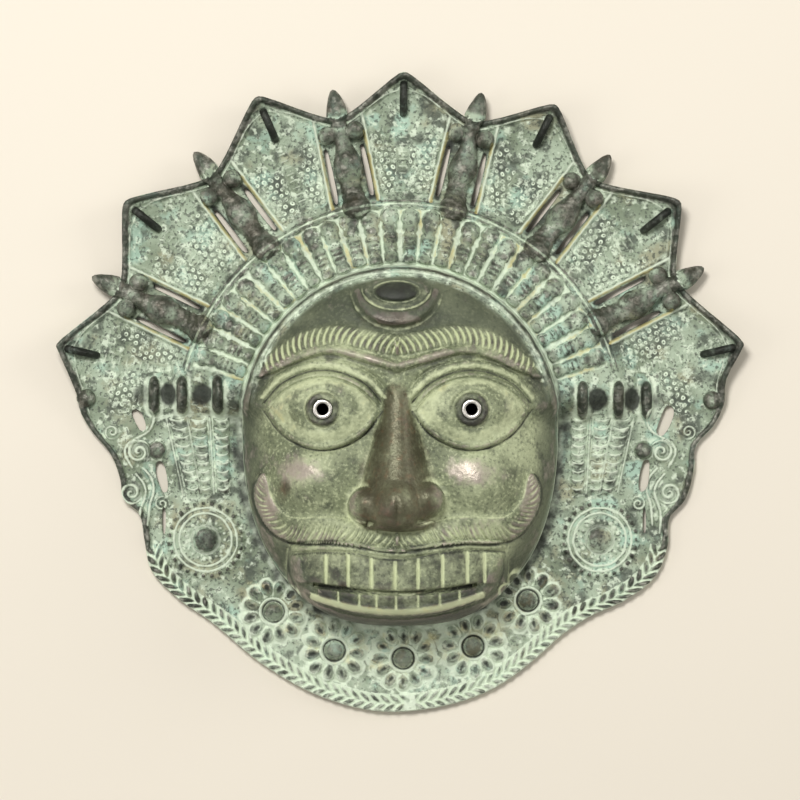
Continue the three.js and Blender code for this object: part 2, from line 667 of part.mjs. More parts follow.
function casting() {
  const added = [
    nose(0),
    ...NOSE_WINGS.map((w) => {
      const z = frontHeight(FACE.centreX + w.x, w.y) + w.rise / 2;
      return ball(FACE.centreX + w.x, w.y, z, [w.radius, w.radius, w.rise], 8, 5);
    }),
    ...[-1, 1].flatMap((side) => [
      ...eyeParts(side), ...browParts(side), moustache(side), templeBar(side), ...scaleStrips(side),
    ]),
    lip(UPPER_LIP, 1.4),
    lip(LOWER_LIP, 1.6),
    ...teethRow(TEETH.upper, TOOTH_PITCH, TEETH.upperTop, TEETH.upperFoot, 0.8),
    ...teethRow(TEETH.lower, LOWER_TOOTH_PITCH, TEETH.lowerTop, TEETH.lowerFoot, 5),
    ...thirdEye(),
    ...balusters(),
    ...COLUMN_ANGLES.flatMap(columnParts),
    ...PETAL_ANGLES.map(staple),
    ...ROSETTES.map((at) => lobedDisc(at, ROSETTE.petals, ROSETTE.radius, ROSETTE_PROFILE)),
    ...EAR_DISCS.map((at) => lobedDisc(at, EAR_DISC.teeth, EAR_DISC.radius, EAR_PROFILE)),
    ...SCROLLS.map(scroll),
    ...EDGE_BOSSES.map(([x, y]) => bead(x, y, frontHeight(x, y), 4.8)),
  ];
  const cutters = [
    nose(NOSE.wall),
    ...COLUMN_ANGLES.flatMap(slitCutters),
    ...PIERCINGS.map((p) => box(p.x, p.y, p.width, p.length, p.lean, -5, 40)),
    ...[-1, 1].flatMap((side) => {
      const x = FACE.centreX + side * EYE.x;
      const seat = irisTop(side) - PUPIL.thickness - PUPIL.gap;
      return [
        postHole(x, EYE.y, PUPIL.hole, 0, 120),
        postHole(x, EYE.y, PUPIL.ring + PUPIL.gap, seat, 120),
      ];
    }),
  ];
  const whole = added.reduce((body, piece) => body.add(piece), castingShell());
  const joined = thinned(largest(whole), THIN_JOINS);
  const cut = cutters.reduce((body, cutter) => body.subtract(cutter), joined);
  return thinned(largest(cut), THIN_CUTS);
}

const bronze = new THREE.MeshStandardMaterial({ color: 0x7d8f78, roughness: 0.62, metalness: 0.55 });
const silver = new THREE.MeshStandardMaterial({ color: 0xd9d6cf, roughness: 0.35, metalness: 0.9 });

function named(name, made, material) {
  const mesh = new THREE.Mesh(geometryOf(made), material);
  mesh.name = name;
  return mesh;
}

const group = new THREE.Group();
group.add(named("mask", casting(), bronze));
group.add(named("left_pupil_ring", pupilRing(-1), silver));
group.add(named("right_pupil_ring", pupilRing(1), silver));

const bounds = new THREE.Box3().setFromObject(group);
const middle = bounds.getCenter(new THREE.Vector3());
group.position.set(-middle.x, -middle.y, -bounds.min.z);

export default group;
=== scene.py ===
"""A cast bronze mask of a fierce deity: third eye, bared teeth and a halo of lotus petals.

The casting is worked out as one sheet, like the founder's wax. Its front is a height over the plan,
in millimetres about the fan's centre between the eyes, and each class here presses its own ornament
into that height. The sheet then gets a back and an edge, is pierced, takes its separately modelled
columns and loops, and is dressed with a patina that is dark on high spots and green in hollows,
with painted shade in slits, grooves and deep hollows and painted highlights on the face.
"""
from __future__ import annotations

import logging
import math
from dataclasses import dataclass, field
from enum import Enum

import bmesh
import bpy
import numpy as np
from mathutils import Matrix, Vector


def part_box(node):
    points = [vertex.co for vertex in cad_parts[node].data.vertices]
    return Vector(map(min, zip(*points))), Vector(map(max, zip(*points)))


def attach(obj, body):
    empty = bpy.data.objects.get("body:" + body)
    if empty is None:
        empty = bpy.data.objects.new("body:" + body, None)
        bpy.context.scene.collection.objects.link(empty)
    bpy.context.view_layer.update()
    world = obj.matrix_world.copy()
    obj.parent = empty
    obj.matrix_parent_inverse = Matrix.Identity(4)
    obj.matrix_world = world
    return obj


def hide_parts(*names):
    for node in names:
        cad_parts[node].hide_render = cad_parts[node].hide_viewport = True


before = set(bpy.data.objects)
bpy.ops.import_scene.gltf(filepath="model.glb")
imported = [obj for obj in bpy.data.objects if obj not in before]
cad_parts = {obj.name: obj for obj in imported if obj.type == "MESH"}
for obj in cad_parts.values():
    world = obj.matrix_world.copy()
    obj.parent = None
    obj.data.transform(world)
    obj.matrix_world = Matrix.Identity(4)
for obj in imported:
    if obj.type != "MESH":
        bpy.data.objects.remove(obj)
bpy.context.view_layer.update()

LOG = logging.getLogger("mask")
MM = 0.001
Array = np.ndarray
Points = tuple[tuple[float, float], ...]
Solid = tuple[np.ndarray, list]
Tree = bpy.types.NodeTree
Socket = bpy.types.NodeSocket


class Side(Enum):
    """The viewer's left or right half of the mask, as the sign of x."""

    LEFT = -1
    RIGHT = 1


def smooth(low: float, high: float, v: Array) -> Array:
    """Smoothstep: 0 at low, 1 at high, and 3t^2 - 2t^3 between them, also where high is the lesser."""
    t = np.clip((v - low) / (high - low), 0.0, 1.0)
    return t * t * (3.0 - 2.0 * t)


def cap(d: Array) -> Array:
    """Half a circle over the distance d: the square root of 1 - d^2, and 0 outside 1."""
    return np.sqrt(np.clip(1.0 - d * d, 0.0, None))


def bump(d: Array) -> Array:
    """One soft wave over the distance d: (1 + cos(pi d)) / 2, and 0 outside 1."""
    return 0.5 + 0.5 * np.cos(np.pi * np.clip(np.abs(d), 0.0, 1.0))


def wobble(x: Array, y: Array, scale: float, seed: float) -> Array:
    """Slow hand-made unevenness from -1 to 1: the mean of four crossed sine waves of one scale."""
    k = 2.0 * np.pi / scale
    waves = (
        np.sin(k * (0.83 * x + 0.56 * y) + 1.7 * seed),
        np.sin(k * (-0.47 * x + 1.09 * y) + 2.9 * seed),
        np.sin(k * (1.31 * x - 0.62 * y) + 4.1 * seed),
        np.sin(k * (0.29 * x + 1.53 * y) + 5.3 * seed),
    )
    return sum(waves) / 4.0


@dataclass
class Course:
    """A smooth line in the plan, drawn through a few points, on which strokes and rolls run."""

    points: Points
    steps: int = 160

    def __post_init__(self) -> None:
        """Samples the line: Catmull-Rom between the points, then even steps by length."""
        p = np.array(self.points, float)
        p = np.vstack([2 * p[0] - p[1], p, 2 * p[-1] - p[-2]])
        t = np.linspace(0.0, 1.0, 24, endpoint=False)[:, None]
        runs = []
        for i in range(1, len(p) - 2):
            a, b, c, d = p[i - 1], p[i], p[i + 1], p[i + 2]
            square, cube = 2 * a - 5 * b + 4 * c - d, 3 * b - a - 3 * c + d
            runs.append(0.5 * (2 * b + (c - a) * t + square * t**2 + cube * t**3))
        line = np.vstack([*runs, p[-2][None]])
        along = np.concatenate([[0.0], np.cumsum(np.hypot(*np.diff(line, axis=0).T))])
        self.length = float(along[-1])
        even = np.linspace(0.0, self.length, self.steps)
        self.line = np.column_stack([np.interp(even, along, line[:, k]) for k in (0, 1)])
        self.along = even
        ahead = np.gradient(self.line, axis=0)
        self.ahead = ahead / np.hypot(*ahead.T)[:, None]

    def locate(self, x: Array, y: Array) -> tuple[Array, Array]:
        """Finds the nearest place on the line.

        Args:
            x, y: points in the plan.

        Returns:
            The length along the line, and the distance across it, positive on its left.
        """
        along = np.empty_like(x)
        across = np.empty_like(x)
        for start in range(0, len(x), 20000):
            part = slice(start, start + 20000)
            dx = x[part, None] - self.line[None, :, 0]
            dy = y[part, None] - self.line[None, :, 1]
            near = np.argmin(dx * dx + dy * dy, axis=1)
            rows = np.arange(len(near))
            ax, ay = self.ahead[near].T
            dx, dy = dx[rows, near], dy[rows, near]
            along[part] = self.along[near] + dx * ax + dy * ay
            across[part] = ax * dy - ay * dx
        return along, across


@dataclass
class Fan:
    """The plan and the broad heights of the casting, which every ornament stands on."""

    wall: float = 3.6
    petal_angles: tuple[float, ...] = (13.1, 38.6, 64.1, 89.4, 113.6, 141.0, 167.1)
    column_angles: tuple[float, ...] = (27.3, 52.1, 76.3, 101.5, 127.1, 154.2)
    tip_radius: float = 176.5
    tip_radii: tuple[float, ...] = (176.5, 179.0, 177.8, 176.5, 179.0, 177.2, 176.5)
    foot_radius: float = 156.5
    tip_rise: float = 9.0
    sharpness: float = 1.45
    tip_round: float = 0.07
    crown_radius: float = 109.0
    flat_inner: float = 129.0
    flat_outer: float = 141.0
    bib_flat_share: float = 0.74
    half_width: float = 79.0
    chin_reach: float = 100.0
    jaw_power: float = 2.4
    plateau: float = 58.0
    crown_rim: float = 24.0
    crown_outer: float = 13.0
    jaw_rim: float = 9.0
    inner_inset: float = 4.4
    centre_x: float = -1.5
    lower_outline: Points = (
        (167.1, 176.5), (171, 168.5), (174.5, 163), (178, 160), (181, 155), (185, 147), (191, 143),
        (195, 143.5), (198.5, 138.5), (204, 140.5), (210, 144.5), (217, 142), (226, 137), (240, 138.5),
        (254, 142), (265, 144), (277, 143), (289, 140.5), (300, 135.5), (308, 133), (315, 135.5),
        (322, 143), (330, 149), (336, 147), (341, 143), (345, 147.5), (351, 149), (356.5, 149.5),
        (360, 157.5), (363.5, 162.5), (368, 165), (373.1, 176.5),
    )

    def lower_radius(self, angle: Array) -> Array:
        """The outline below the petals: a cubic between neighbours, with slopes across them."""
        a, r = np.array(self.lower_outline, float).T
        slope = np.gradient(r, a)
        i = np.clip(np.searchsorted(a, angle, side="right") - 1, 0, len(a) - 2)
        width = a[i + 1] - a[i]
        t = np.clip((angle - a[i]) / width, 0.0, 1.0)
        return (
            (2 * t**3 - 3 * t**2 + 1) * r[i]
            + (t**3 - 2 * t**2 + t) * width * slope[i]
            + (3 * t**2 - 2 * t**3) * r[i + 1]
            + (t**3 - t**2) * width * slope[i + 1]
        )

    def outline(self, angle: Array) -> Array:
        """The outline's radius: each petal falls from its tip to the column beside it."""
        petals, columns = np.array(self.petal_angles), np.array(self.column_angles)
        i = np.clip(np.searchsorted(columns, angle), 0, len(petals) - 1)
        tip = petals[i]
        column = columns[np.clip(np.where(angle >= tip, i, i - 1), 0, len(columns) - 1)]
        away = np.hypot((angle - tip) / (column - tip), self.tip_round) - self.tip_round
        share = 1.0 - away / (math.hypot(1.0, self.tip_round) - self.tip_round)
        reach = np.array(self.tip_radii)[i] - self.foot_radius
        fan = self.foot_radius + reach * np.clip(share, 0.0, 1.0) ** self.sharpness
        below = self.lower_radius(np.where(angle < petals[0], angle + 360.0, angle))
        return np.where((angle >= petals[0]) & (angle <= petals[-1]), fan, below)

    def face(self, angle: Array) -> Array:
        """The face's radius: half a circle above, a squarish half ellipse below."""
        c, s = np.cos(np.radians(angle)), np.sin(np.radians(angle))
        jaw = np.abs(c / self.half_width) ** self.jaw_power + np.abs(s / self.chin_reach) ** self.jaw_power
        return np.where(s >= 0, self.half_width, jaw ** (-1.0 / self.jaw_power))

    def halo_share(self, angle: Array) -> Array:
        """1 in the halo, 0 in the bib, with a soft change just below the lowest petals."""
        return smooth(1.0, 9.0, np.where(angle > 270.0, -1.0, np.minimum(angle, 180.0 - angle)))

    def flange(self, r: Array, angle: Array) -> Array:
        """Height outside the face: crown band, petals that curl forward, and the falling bib."""
        inner, outer = self.face(angle), self.outline(angle)
        curl = np.clip((r - self.flat_outer) / (self.tip_radius - self.flat_outer), 0.0, None) ** 1.5
        petal = self.wall + self.tip_rise * curl
        share = np.clip((r - inner) / (self.crown_radius - inner), 0.0, 1.0)
        band = self.crown_rim + (self.crown_outer - self.crown_rim) * share
        foot = self.crown_outer + (petal - self.crown_outer) * smooth(self.crown_radius, self.flat_inner, r)
        fall = smooth(0.0, self.bib_flat_share, (r - inner) / (outer - inner))
        bib = self.jaw_rim + (self.wall - self.jaw_rim) * fall
        halo = np.where(r < self.crown_radius, band, foot)
        return bib + (halo - bib) * self.halo_share(angle)


@dataclass
class Sheet:
    """The casting's front as points in the plan with a height, worked like a sheet of wax."""

    fan: Fan
    x: Array
    y: Array
    z: Array = field(init=False)
    grime: Array = field(init=False)
    dust_and_light: Array = field(init=False)
    # Near-black marks: dark parts of the patina, and painted shade in slits, grooves, hollows and under
    # overhangs.
    soot_and_shade: Array = field(init=False)
    sown: Array = field(init=False)
    sow_u: Array = field(init=False)
    sow_v: Array = field(init=False)

    def __post_init__(self) -> None:
        """Finds each point's radius, angle and edge distance once."""
        self.r = np.hypot(self.x, self.y)
        self.angle = np.degrees(np.arctan2(self.y, self.x)) % 360.0
        self.edge = self.fan.outline(self.angle) - self.r
        self.in_face = self.r < self.fan.face(self.angle) * 1.001
        self.z = self.fan.flange(self.r, self.angle)
        self.grime, self.dust_and_light, self.soot_and_shade = (np.zeros_like(self.z) for _ in range(3))
        self.sown, self.sow_u, self.sow_v = (np.zeros_like(self.z) for _ in range(3))

    def near(self, cx: float, cy: float, reach: float) -> Array:
        """The points in a square round a place, as indices."""
        return np.flatnonzero((np.abs(self.x - cx) < reach) & (np.abs(self.y - cy) < reach))

    def along(self, course: Course, reach: float) -> tuple[Array, Array, Array]:
        """The points near a course: their indices, and where they lie along and across it."""
        low, high = course.line.min(axis=0) - reach, course.line.max(axis=0) + reach
        inside = (self.x > low[0]) & (self.x < high[0]) & (self.y > low[1]) & (self.y < high[1])
        i = np.flatnonzero(inside)
        s, d = course.locate(self.x[i], self.y[i])
        keep = np.abs(d) < reach
        return i[keep], s[keep], d[keep]

    def roll(self, course: Course, half: float, height: float, taper: float = 0.12) -> None:
        """Lays a round roll along a course, thinner at its two ends."""
        i, s, d = self.along(course, half * 1.6)
        t = s / course.length
        ends = cap(np.clip(1.0 - np.minimum(t, 1.0 - t) / taper, 0.0, 1.0))
        ends[(t < -0.02) | (t > 1.02)] = 0.0
        self.z[i] += height * ends * cap(d / (half * (0.45 + 0.55 * ends)))

    def score(self, course: Course, half: float, depth: float) -> None:
        """Cuts a soft line along a course."""
        i, s, d = self.along(course, half * 1.5)
        inside = (s > -half) & (s < course.length + half)
        self.z[i] -= depth * bump(d / half) * inside

    def shade_line(self, course: Course, half: float, amount: float) -> None:
        """Paints a dark line along a course: painted shade in a crease or under a roll."""
        i, s, d = self.along(course, half * 1.2)
        line = amount * bump(d / half) * (s > 0.0) * (s < course.length)
        self.soot_and_shade[i] = np.maximum(self.soot_and_shade[i], line)

    def chalk(self, course: Course, half: float, amount: float) -> None:
        """Lets a pale line stand along a course."""
        i, s, d = self.along(course, half * 1.2)
        line = amount * bump(d / half) * (s > 0.0) * (s < course.length)
        self.dust_and_light[i] = np.maximum(self.dust_and_light[i], line)


@dataclass
class Dome:
    """The face's broad form: dome, cheeks, eyeballs and the jutting mouth."""

    muzzle_y: float = -73.0
    muzzle_half_width: float = 55.0
    muzzle_half_height: float = 27.6
    muzzle_front: float = 60.0
    sweep_back: float = 15.0
    muzzle_power: float = 3.0
    cheek_x: float = 43.0
    cheek_y: float = -28.0
    cheek_rise: float = 9.0
    cheek_spread: float = 19.0
    eye_x: float = 36.5
    eye_y: float = 8.0
    eye_half_width: float = 28.5
    eye_half_height: float = 20.0
    eye_bulge: float = 9.0

    def height(self, fan: Fan, x: Array, y: Array, inset: float) -> Array:
        """The face's height, or with an inset the height of its back.

        Args:
            fan: the plan that the face stands in.
            x, y: points in the plan.
            inset: 0 for the front, or the wall's thickness for the back.

        Returns:
            The dome's height: its rim, plus the root of 1 - s^3 over the share s of the radius.
        """
        angle = np.degrees(np.arctan2(y, x)) % 360.0
        edge = fan.face(angle) - (fan.inner_inset if inset else 0.0)
        s = np.hypot(x, y) / edge
        rim = np.clip(fan.flange(edge, angle) - inset, 0.0, None)
        z = rim + (fan.plateau - inset - rim) * np.sqrt(np.clip(1.0 - s**3, 0.0, None))
        u = np.abs(x - fan.centre_x)
        spread = np.hypot(u - self.cheek_x, y - self.cheek_y) / self.cheek_spread
        z += self.cheek_rise * np.exp(-(spread**2)) * smooth(0.0, 0.2, 1.0 - s)
        if not inset:
            eye = np.hypot((u - self.eye_x) / self.eye_half_width, (y - self.eye_y) / self.eye_half_height)
            z += self.eye_bulge * np.clip(1.0 - eye**2.5, 0.0, None)
        across = u / (self.muzzle_half_width - inset)
        up = np.abs(y - self.muzzle_y) / (self.muzzle_half_height - inset)
        front = self.muzzle_front - inset - self.sweep_back * across**2
        full = np.sqrt(np.clip(1.0 - across**self.muzzle_power - up**self.muzzle_power, 0.0, None))
        return z + np.clip(front - z, 0.0, None) * full


@dataclass
class Nose:
    """A long nose with round wings, a cleft tip and two nostrils."""

    top_y: float = 27.0
    tip_y: float = -42.0
    under_y: float = -51.5
    rise: float = 24.0
    bridge: float = 6.5
    tip: float = 21.5
    bulb_y: float = -38.5
    bulb: float = 11.5
    blend: float = 2.6
    wings: tuple[tuple[float, float, float, float], ...] = (
        (-14.8, -39.5, 9.6, 15.5), (14.2, -36.5, 9.2, 16.5),
    )
    nostrils: Points = ((-13.0, -48.3), (11.3, -47.3))

    def height(self, u: Array, y: Array, inset: float) -> Array:
        """The ridge's height over the dome: rise x (1 - |u / width|^2.4)^1.35, closed under the tip."""
        down = (self.top_y - y) / (self.top_y - self.tip_y)
        along = np.clip(down, 0.0, 1.0)
        under = cap(np.clip(self.tip_y - y, 0.0, None) / (self.tip_y - self.under_y + 0.5))
        width = (self.bridge + (self.tip - self.bridge) * along**1.25) * (0.55 + 0.45 * under) - inset
        rise = self.rise * (0.12 + 0.88 * along**1.3) * under * smooth(0.0, 0.16, down) - inset
        arch = np.clip(1.0 - np.abs(u / np.maximum(width, 0.5)) ** 2.4, 0.0, None) ** 1.35
        return np.clip(rise, 0.0, None) * arch * (down > 0) * (y > self.under_y)

    def press(self, sheet: Sheet) -> None:
        """Raises the nose and its wings, and cuts the cleft and the nostrils."""
        i = sheet.near(sheet.fan.centre_x, -12.0, 45.0)
        x, y = sheet.x[i], sheet.y[i]
        u = x - sheet.fan.centre_x
        ridge = self.height(u, y, 0.0)
        bulb = 25.5 * cap(np.hypot(u / self.bulb, (y - self.bulb_y) / (self.bulb + 1.0))) ** 0.75
        total = np.exp(ridge / self.blend) + np.exp(bulb / self.blend) - 1.0
        for wx, wy, radius, rise in self.wings:
            wing = rise * cap(np.hypot(u - wx, y - wy) / radius) ** 0.8
            total += np.exp(wing / self.blend) - 1.0
        ridge = self.blend * np.log(total)
        down = 1.0 - smooth(-44.0, -30.0, y)
        ridge -= 1.3 * down * bump(u / 1.6) * (y > -47.5)
        sheet.z[i] += ridge
        for nx, ny in self.nostrils:
            sheet.z[i] -= 5.0 * bump(np.hypot((u - nx) / 4.2, (y - ny) / 2.6))


@dataclass
class Eyes:
    """Bulging almond eyes with double lids, a raised iris and a seat for the pupil's ring."""

    x: float = 36.5
    y: float = 8.0
    lid_half: float = 28.5
    upper: float = 16.5
    lower: float = 19.5
    fullness: float = 0.8
    iris: float = 8.4
    proud: float = 2.6
    ring: float = 4.8
    hole: float = 2.9
    thickness: float = 2.2
    gap: float = 0.3

    def centre(self, fan: Fan, side: Side) -> tuple[float, float]:
        """The middle of one iris in the plan."""
        return fan.centre_x + side.value * self.x, self.y

    def seat_height(self, fan: Fan, dome: Dome, side: Side) -> float:
        """The height of the iris's top, which the pupil's ring is flush with."""
        x, y = self.centre(fan, side)
        return float(dome.height(fan, np.array([x]), np.array([y]), 0.0)[0]) + self.proud

    def arch(self, cx: float, reach: float, grow: float = 0.0) -> Course:
        """A lid's line from corner to corner: reach x (1 - u^2)^fullness above the middle line."""
        u = np.linspace(-1.0, 1.0, 9)
        rise = reach * (1.0 - u * u) ** self.fullness + np.sign(reach) * grow
        return Course(tuple(zip(cx + u * (self.lid_half + 0.6 * grow), self.y + 0.8 + rise)))

    def press(self, sheet: Sheet, dome: Dome, side: Side) -> None:
        """Sets the lids, the lines beside them and the iris of one eye."""
        cx, cy = self.centre(sheet.fan, side)
        upper, lower = self.arch(cx, self.upper), self.arch(cx, -self.lower)
        sheet.roll(upper, 1.3, 1.6, 0.2)
        sheet.roll(lower, 1.3, 1.7, 0.2)
        sheet.score(self.arch(cx, self.upper, 1.9), 0.9, 1.4)
        sheet.score(self.arch(cx, self.upper, -2.0), 0.9, 0.9)
        sheet.score(self.arch(cx, -self.lower, 1.8), 0.9, 1.2)
        sheet.roll(self.arch(cx, self.upper, 4.4), 2.4, 1.3, 0.3)
        sheet.score(self.arch(cx, self.upper, 7.2), 1.1, 0.8)
        # Painted shade along the creases beside the lids.
        for line in (self.arch(cx, self.upper, 1.8), self.arch(cx, -self.lower, 1.7)):
            sheet.shade_line(line, 1.2, 0.85)
        sheet.shade_line(self.arch(cx, self.upper, -1.9), 1.0, 0.5)
        sheet.chalk(self.arch(cx, self.upper, 4.2), 2.6, 0.62)
        sheet.shade_line(self.arch(cx, self.upper, 7.4), 1.5, 0.4)
        i = sheet.near(cx, cy, 12.0)
        d = np.hypot(sheet.x[i] - cx, sheet.y[i] - cy)
        top = self.seat_height(sheet.fan, dome, side)
        disc = top - 0.5 * (d / self.iris) ** 2 - 6.0 * smooth(self.iris - 0.9, self.iris + 0.5, d)
        sheet.z[i] = np.where(d < self.iris + 0.6, np.maximum(sheet.z[i], disc), sheet.z[i])
        sheet.z[i] -= 0.7 * bump((d - self.iris - 1.0) / 0.9)
        sheet.soot_and_shade[i] = np.maximum(sheet.soot_and_shade[i], 0.62 * smooth(self.iris + 0.8, self.iris - 0.4, d))
        i = sheet.near(cx, cy, 27.0)
        u, v = sheet.x[i] - cx, sheet.y[i] - cy - 0.8
        reach = np.clip(1.0 - (u / self.lid_half) ** 2, 0.0, 1.0) ** self.fullness
        reach *= np.where(v > 0.0, self.upper, self.lower)
        ball = np.hypot(u / 17.5, v / 11.5)
        band = smooth(0.86, 1.06, ball) * smooth(-0.5, -2.5, np.abs(v) - reach)
        sheet.dust_and_light[i] = np.maximum(sheet.dust_and_light[i], 0.5 * band)
        sheet.grime[i] += 0.3 * band
        corner = bump((np.abs(u) - 12.5) / 6.5) * bump(v / 6.0)
        sheet.soot_and_shade[i] = np.maximum(sheet.soot_and_shade[i], 0.4 * corner)


@dataclass
class Brows:
    """Arched brows: a band of slanted hair strokes over a bright smooth ridge."""

    hair: Points = ((-1, 39), (14, 42), (29, 44.5), (45, 42), (56, 36), (67, 28))
    ridge: Points = ((0, 28.5), (14, 33), (32, 37.5), (46, 35), (58, 29.5), (71, 25))
    curl: Points = ((72, 31.5), (74, 28), (71.5, 24.5), (66, 24))
    pitch: float = 3.25
    half: float = 5.2

    def press(self, sheet: Sheet, side: Side) -> None:
        """Lays one brow: its swell, its ridge, the strokes of hair and the curl at its end."""
        cx = sheet.fan.centre_x
        flip = lambda path: tuple((cx + side.value * u, v) for u, v in path)
        band, ridge = Course(flip(self.hair)), Course(flip(self.ridge))
        i, s, d = sheet.along(ridge, 9.0)
        inside = smooth(-4.0, 2.0, s) * smooth(-1.0, 6.0, ridge.length - s)
        sheet.z[i] += 2.2 * inside * bump(d / 9.0)
        sheet.roll(ridge, 2.3, 2.6, 0.1)
        sheet.score(Course(flip(tuple((u, v - 3.3) for u, v in self.ridge))), 1.3, 1.0)
        i, s, d = sheet.along(band, 6.5)
        lean = d * side.value * 0.42 + 0.05 * d * d
        stroke = (s + lean) / self.pitch
        lock = 0.5 + 0.5 * np.cos(2 * np.pi * stroke)
        t = np.clip(s / band.length, 0.0, 1.0)
        half = self.half * (1.0 - 0.35 * t**3)
        body = cap(d / half) * (s > 0) * (s < band.length)
        sheet.z[i] += body * (0.6 + 2.6 * lock**0.7)
        sheet.dust_and_light[i] = np.maximum(sheet.dust_and_light[i], 0.95 * (1.0 - lock) ** 1.5 * body)
        sheet.soot_and_shade[i] = np.maximum(sheet.soot_and_shade[i], 0.6 * lock**1.5 * body)
        sheet.roll(Course(flip(self.curl)), 1.2, 1.6)
        # Painted shade along the crease under the ridge.
        sheet.shade_line(Course(flip(tuple((u, v - 3.4) for u, v in self.ridge))), 1.8, 0.6)


@dataclass
class Moustache:
    """A moustache that sweeps out under the cheeks and turns up at its tips."""

    path: Points = (
        (-0.5, -56.5), (8, -55), (21, -52.5), (33.5, -51), (48.5, -51.5), (57, -49.3), (63.5, -42.5),
        (66.8, -34), (66, -24),
    )
    pitch: float = 2.7
    half: float = 6.8

    def press(self, sheet: Sheet, side: Side) -> None:
        """Lays one half, with strokes that fan outwards and down from the middle."""
        course = Course(tuple((sheet.fan.centre_x + side.value * u, v) for u, v in self.path), 240)
        i, s, d = sheet.along(course, 9.0)
        t = np.clip(s / course.length, 0.0, 1.0)
        half = self.half * (0.78 + 0.22 * np.sin(np.pi * t)) * (1.0 - 0.42 * t**4)
        half = half * cap(np.clip((t - 0.9) / 0.102, 0.0, 1.0)) + 0.05
        inside = smooth(-1.5, 1.0, s) * (s < course.length)
        body = cap(d / half) * inside
        outer = -side.value * d / half
        stroke = (s - 2.6 * outer - 1.2 * outer**2) / self.pitch + 0.35 * np.sin(s * 0.37)
        lock = 0.5 + 0.5 * np.cos(2 * np.pi * stroke)
        strength = smooth(-0.75, 0.3, outer) * 0.8 + 0.2
        plump = 4.4 * cap((outer - 0.25) / 1.25) ** 0.9 * inside * (np.abs(d) < half)
        sheet.z[i] += plump + body**0.5 * 1.3 * (lock - 0.5) * strength
        sheet.dust_and_light[i] = np.maximum(sheet.dust_and_light[i], 0.8 * (1.0 - lock) ** 2 * strength * body)
        sheet.soot_and_shade[i] = np.maximum(sheet.soot_and_shade[i], 0.42 * lock**2 * strength * body)
        top_line = 0.6 * inside * bump((d - side.value * 0.92 * half) / 1.3) * smooth(0.05, 0.2, t)
        sheet.dust_and_light[i] = np.maximum(sheet.dust_and_light[i], top_line)
        # A groove under the lower edge, and painted shade under the overhang there.
        sheet.z[i] -= 1.3 * inside * bump((d + side.value * (half + 0.9)) / 1.6)
        sheet.soot_and_shade[i] = np.maximum(sheet.soot_and_shade[i], 0.85 * inside * bump((d + side.value * (half + 0.8)) / 1.5))


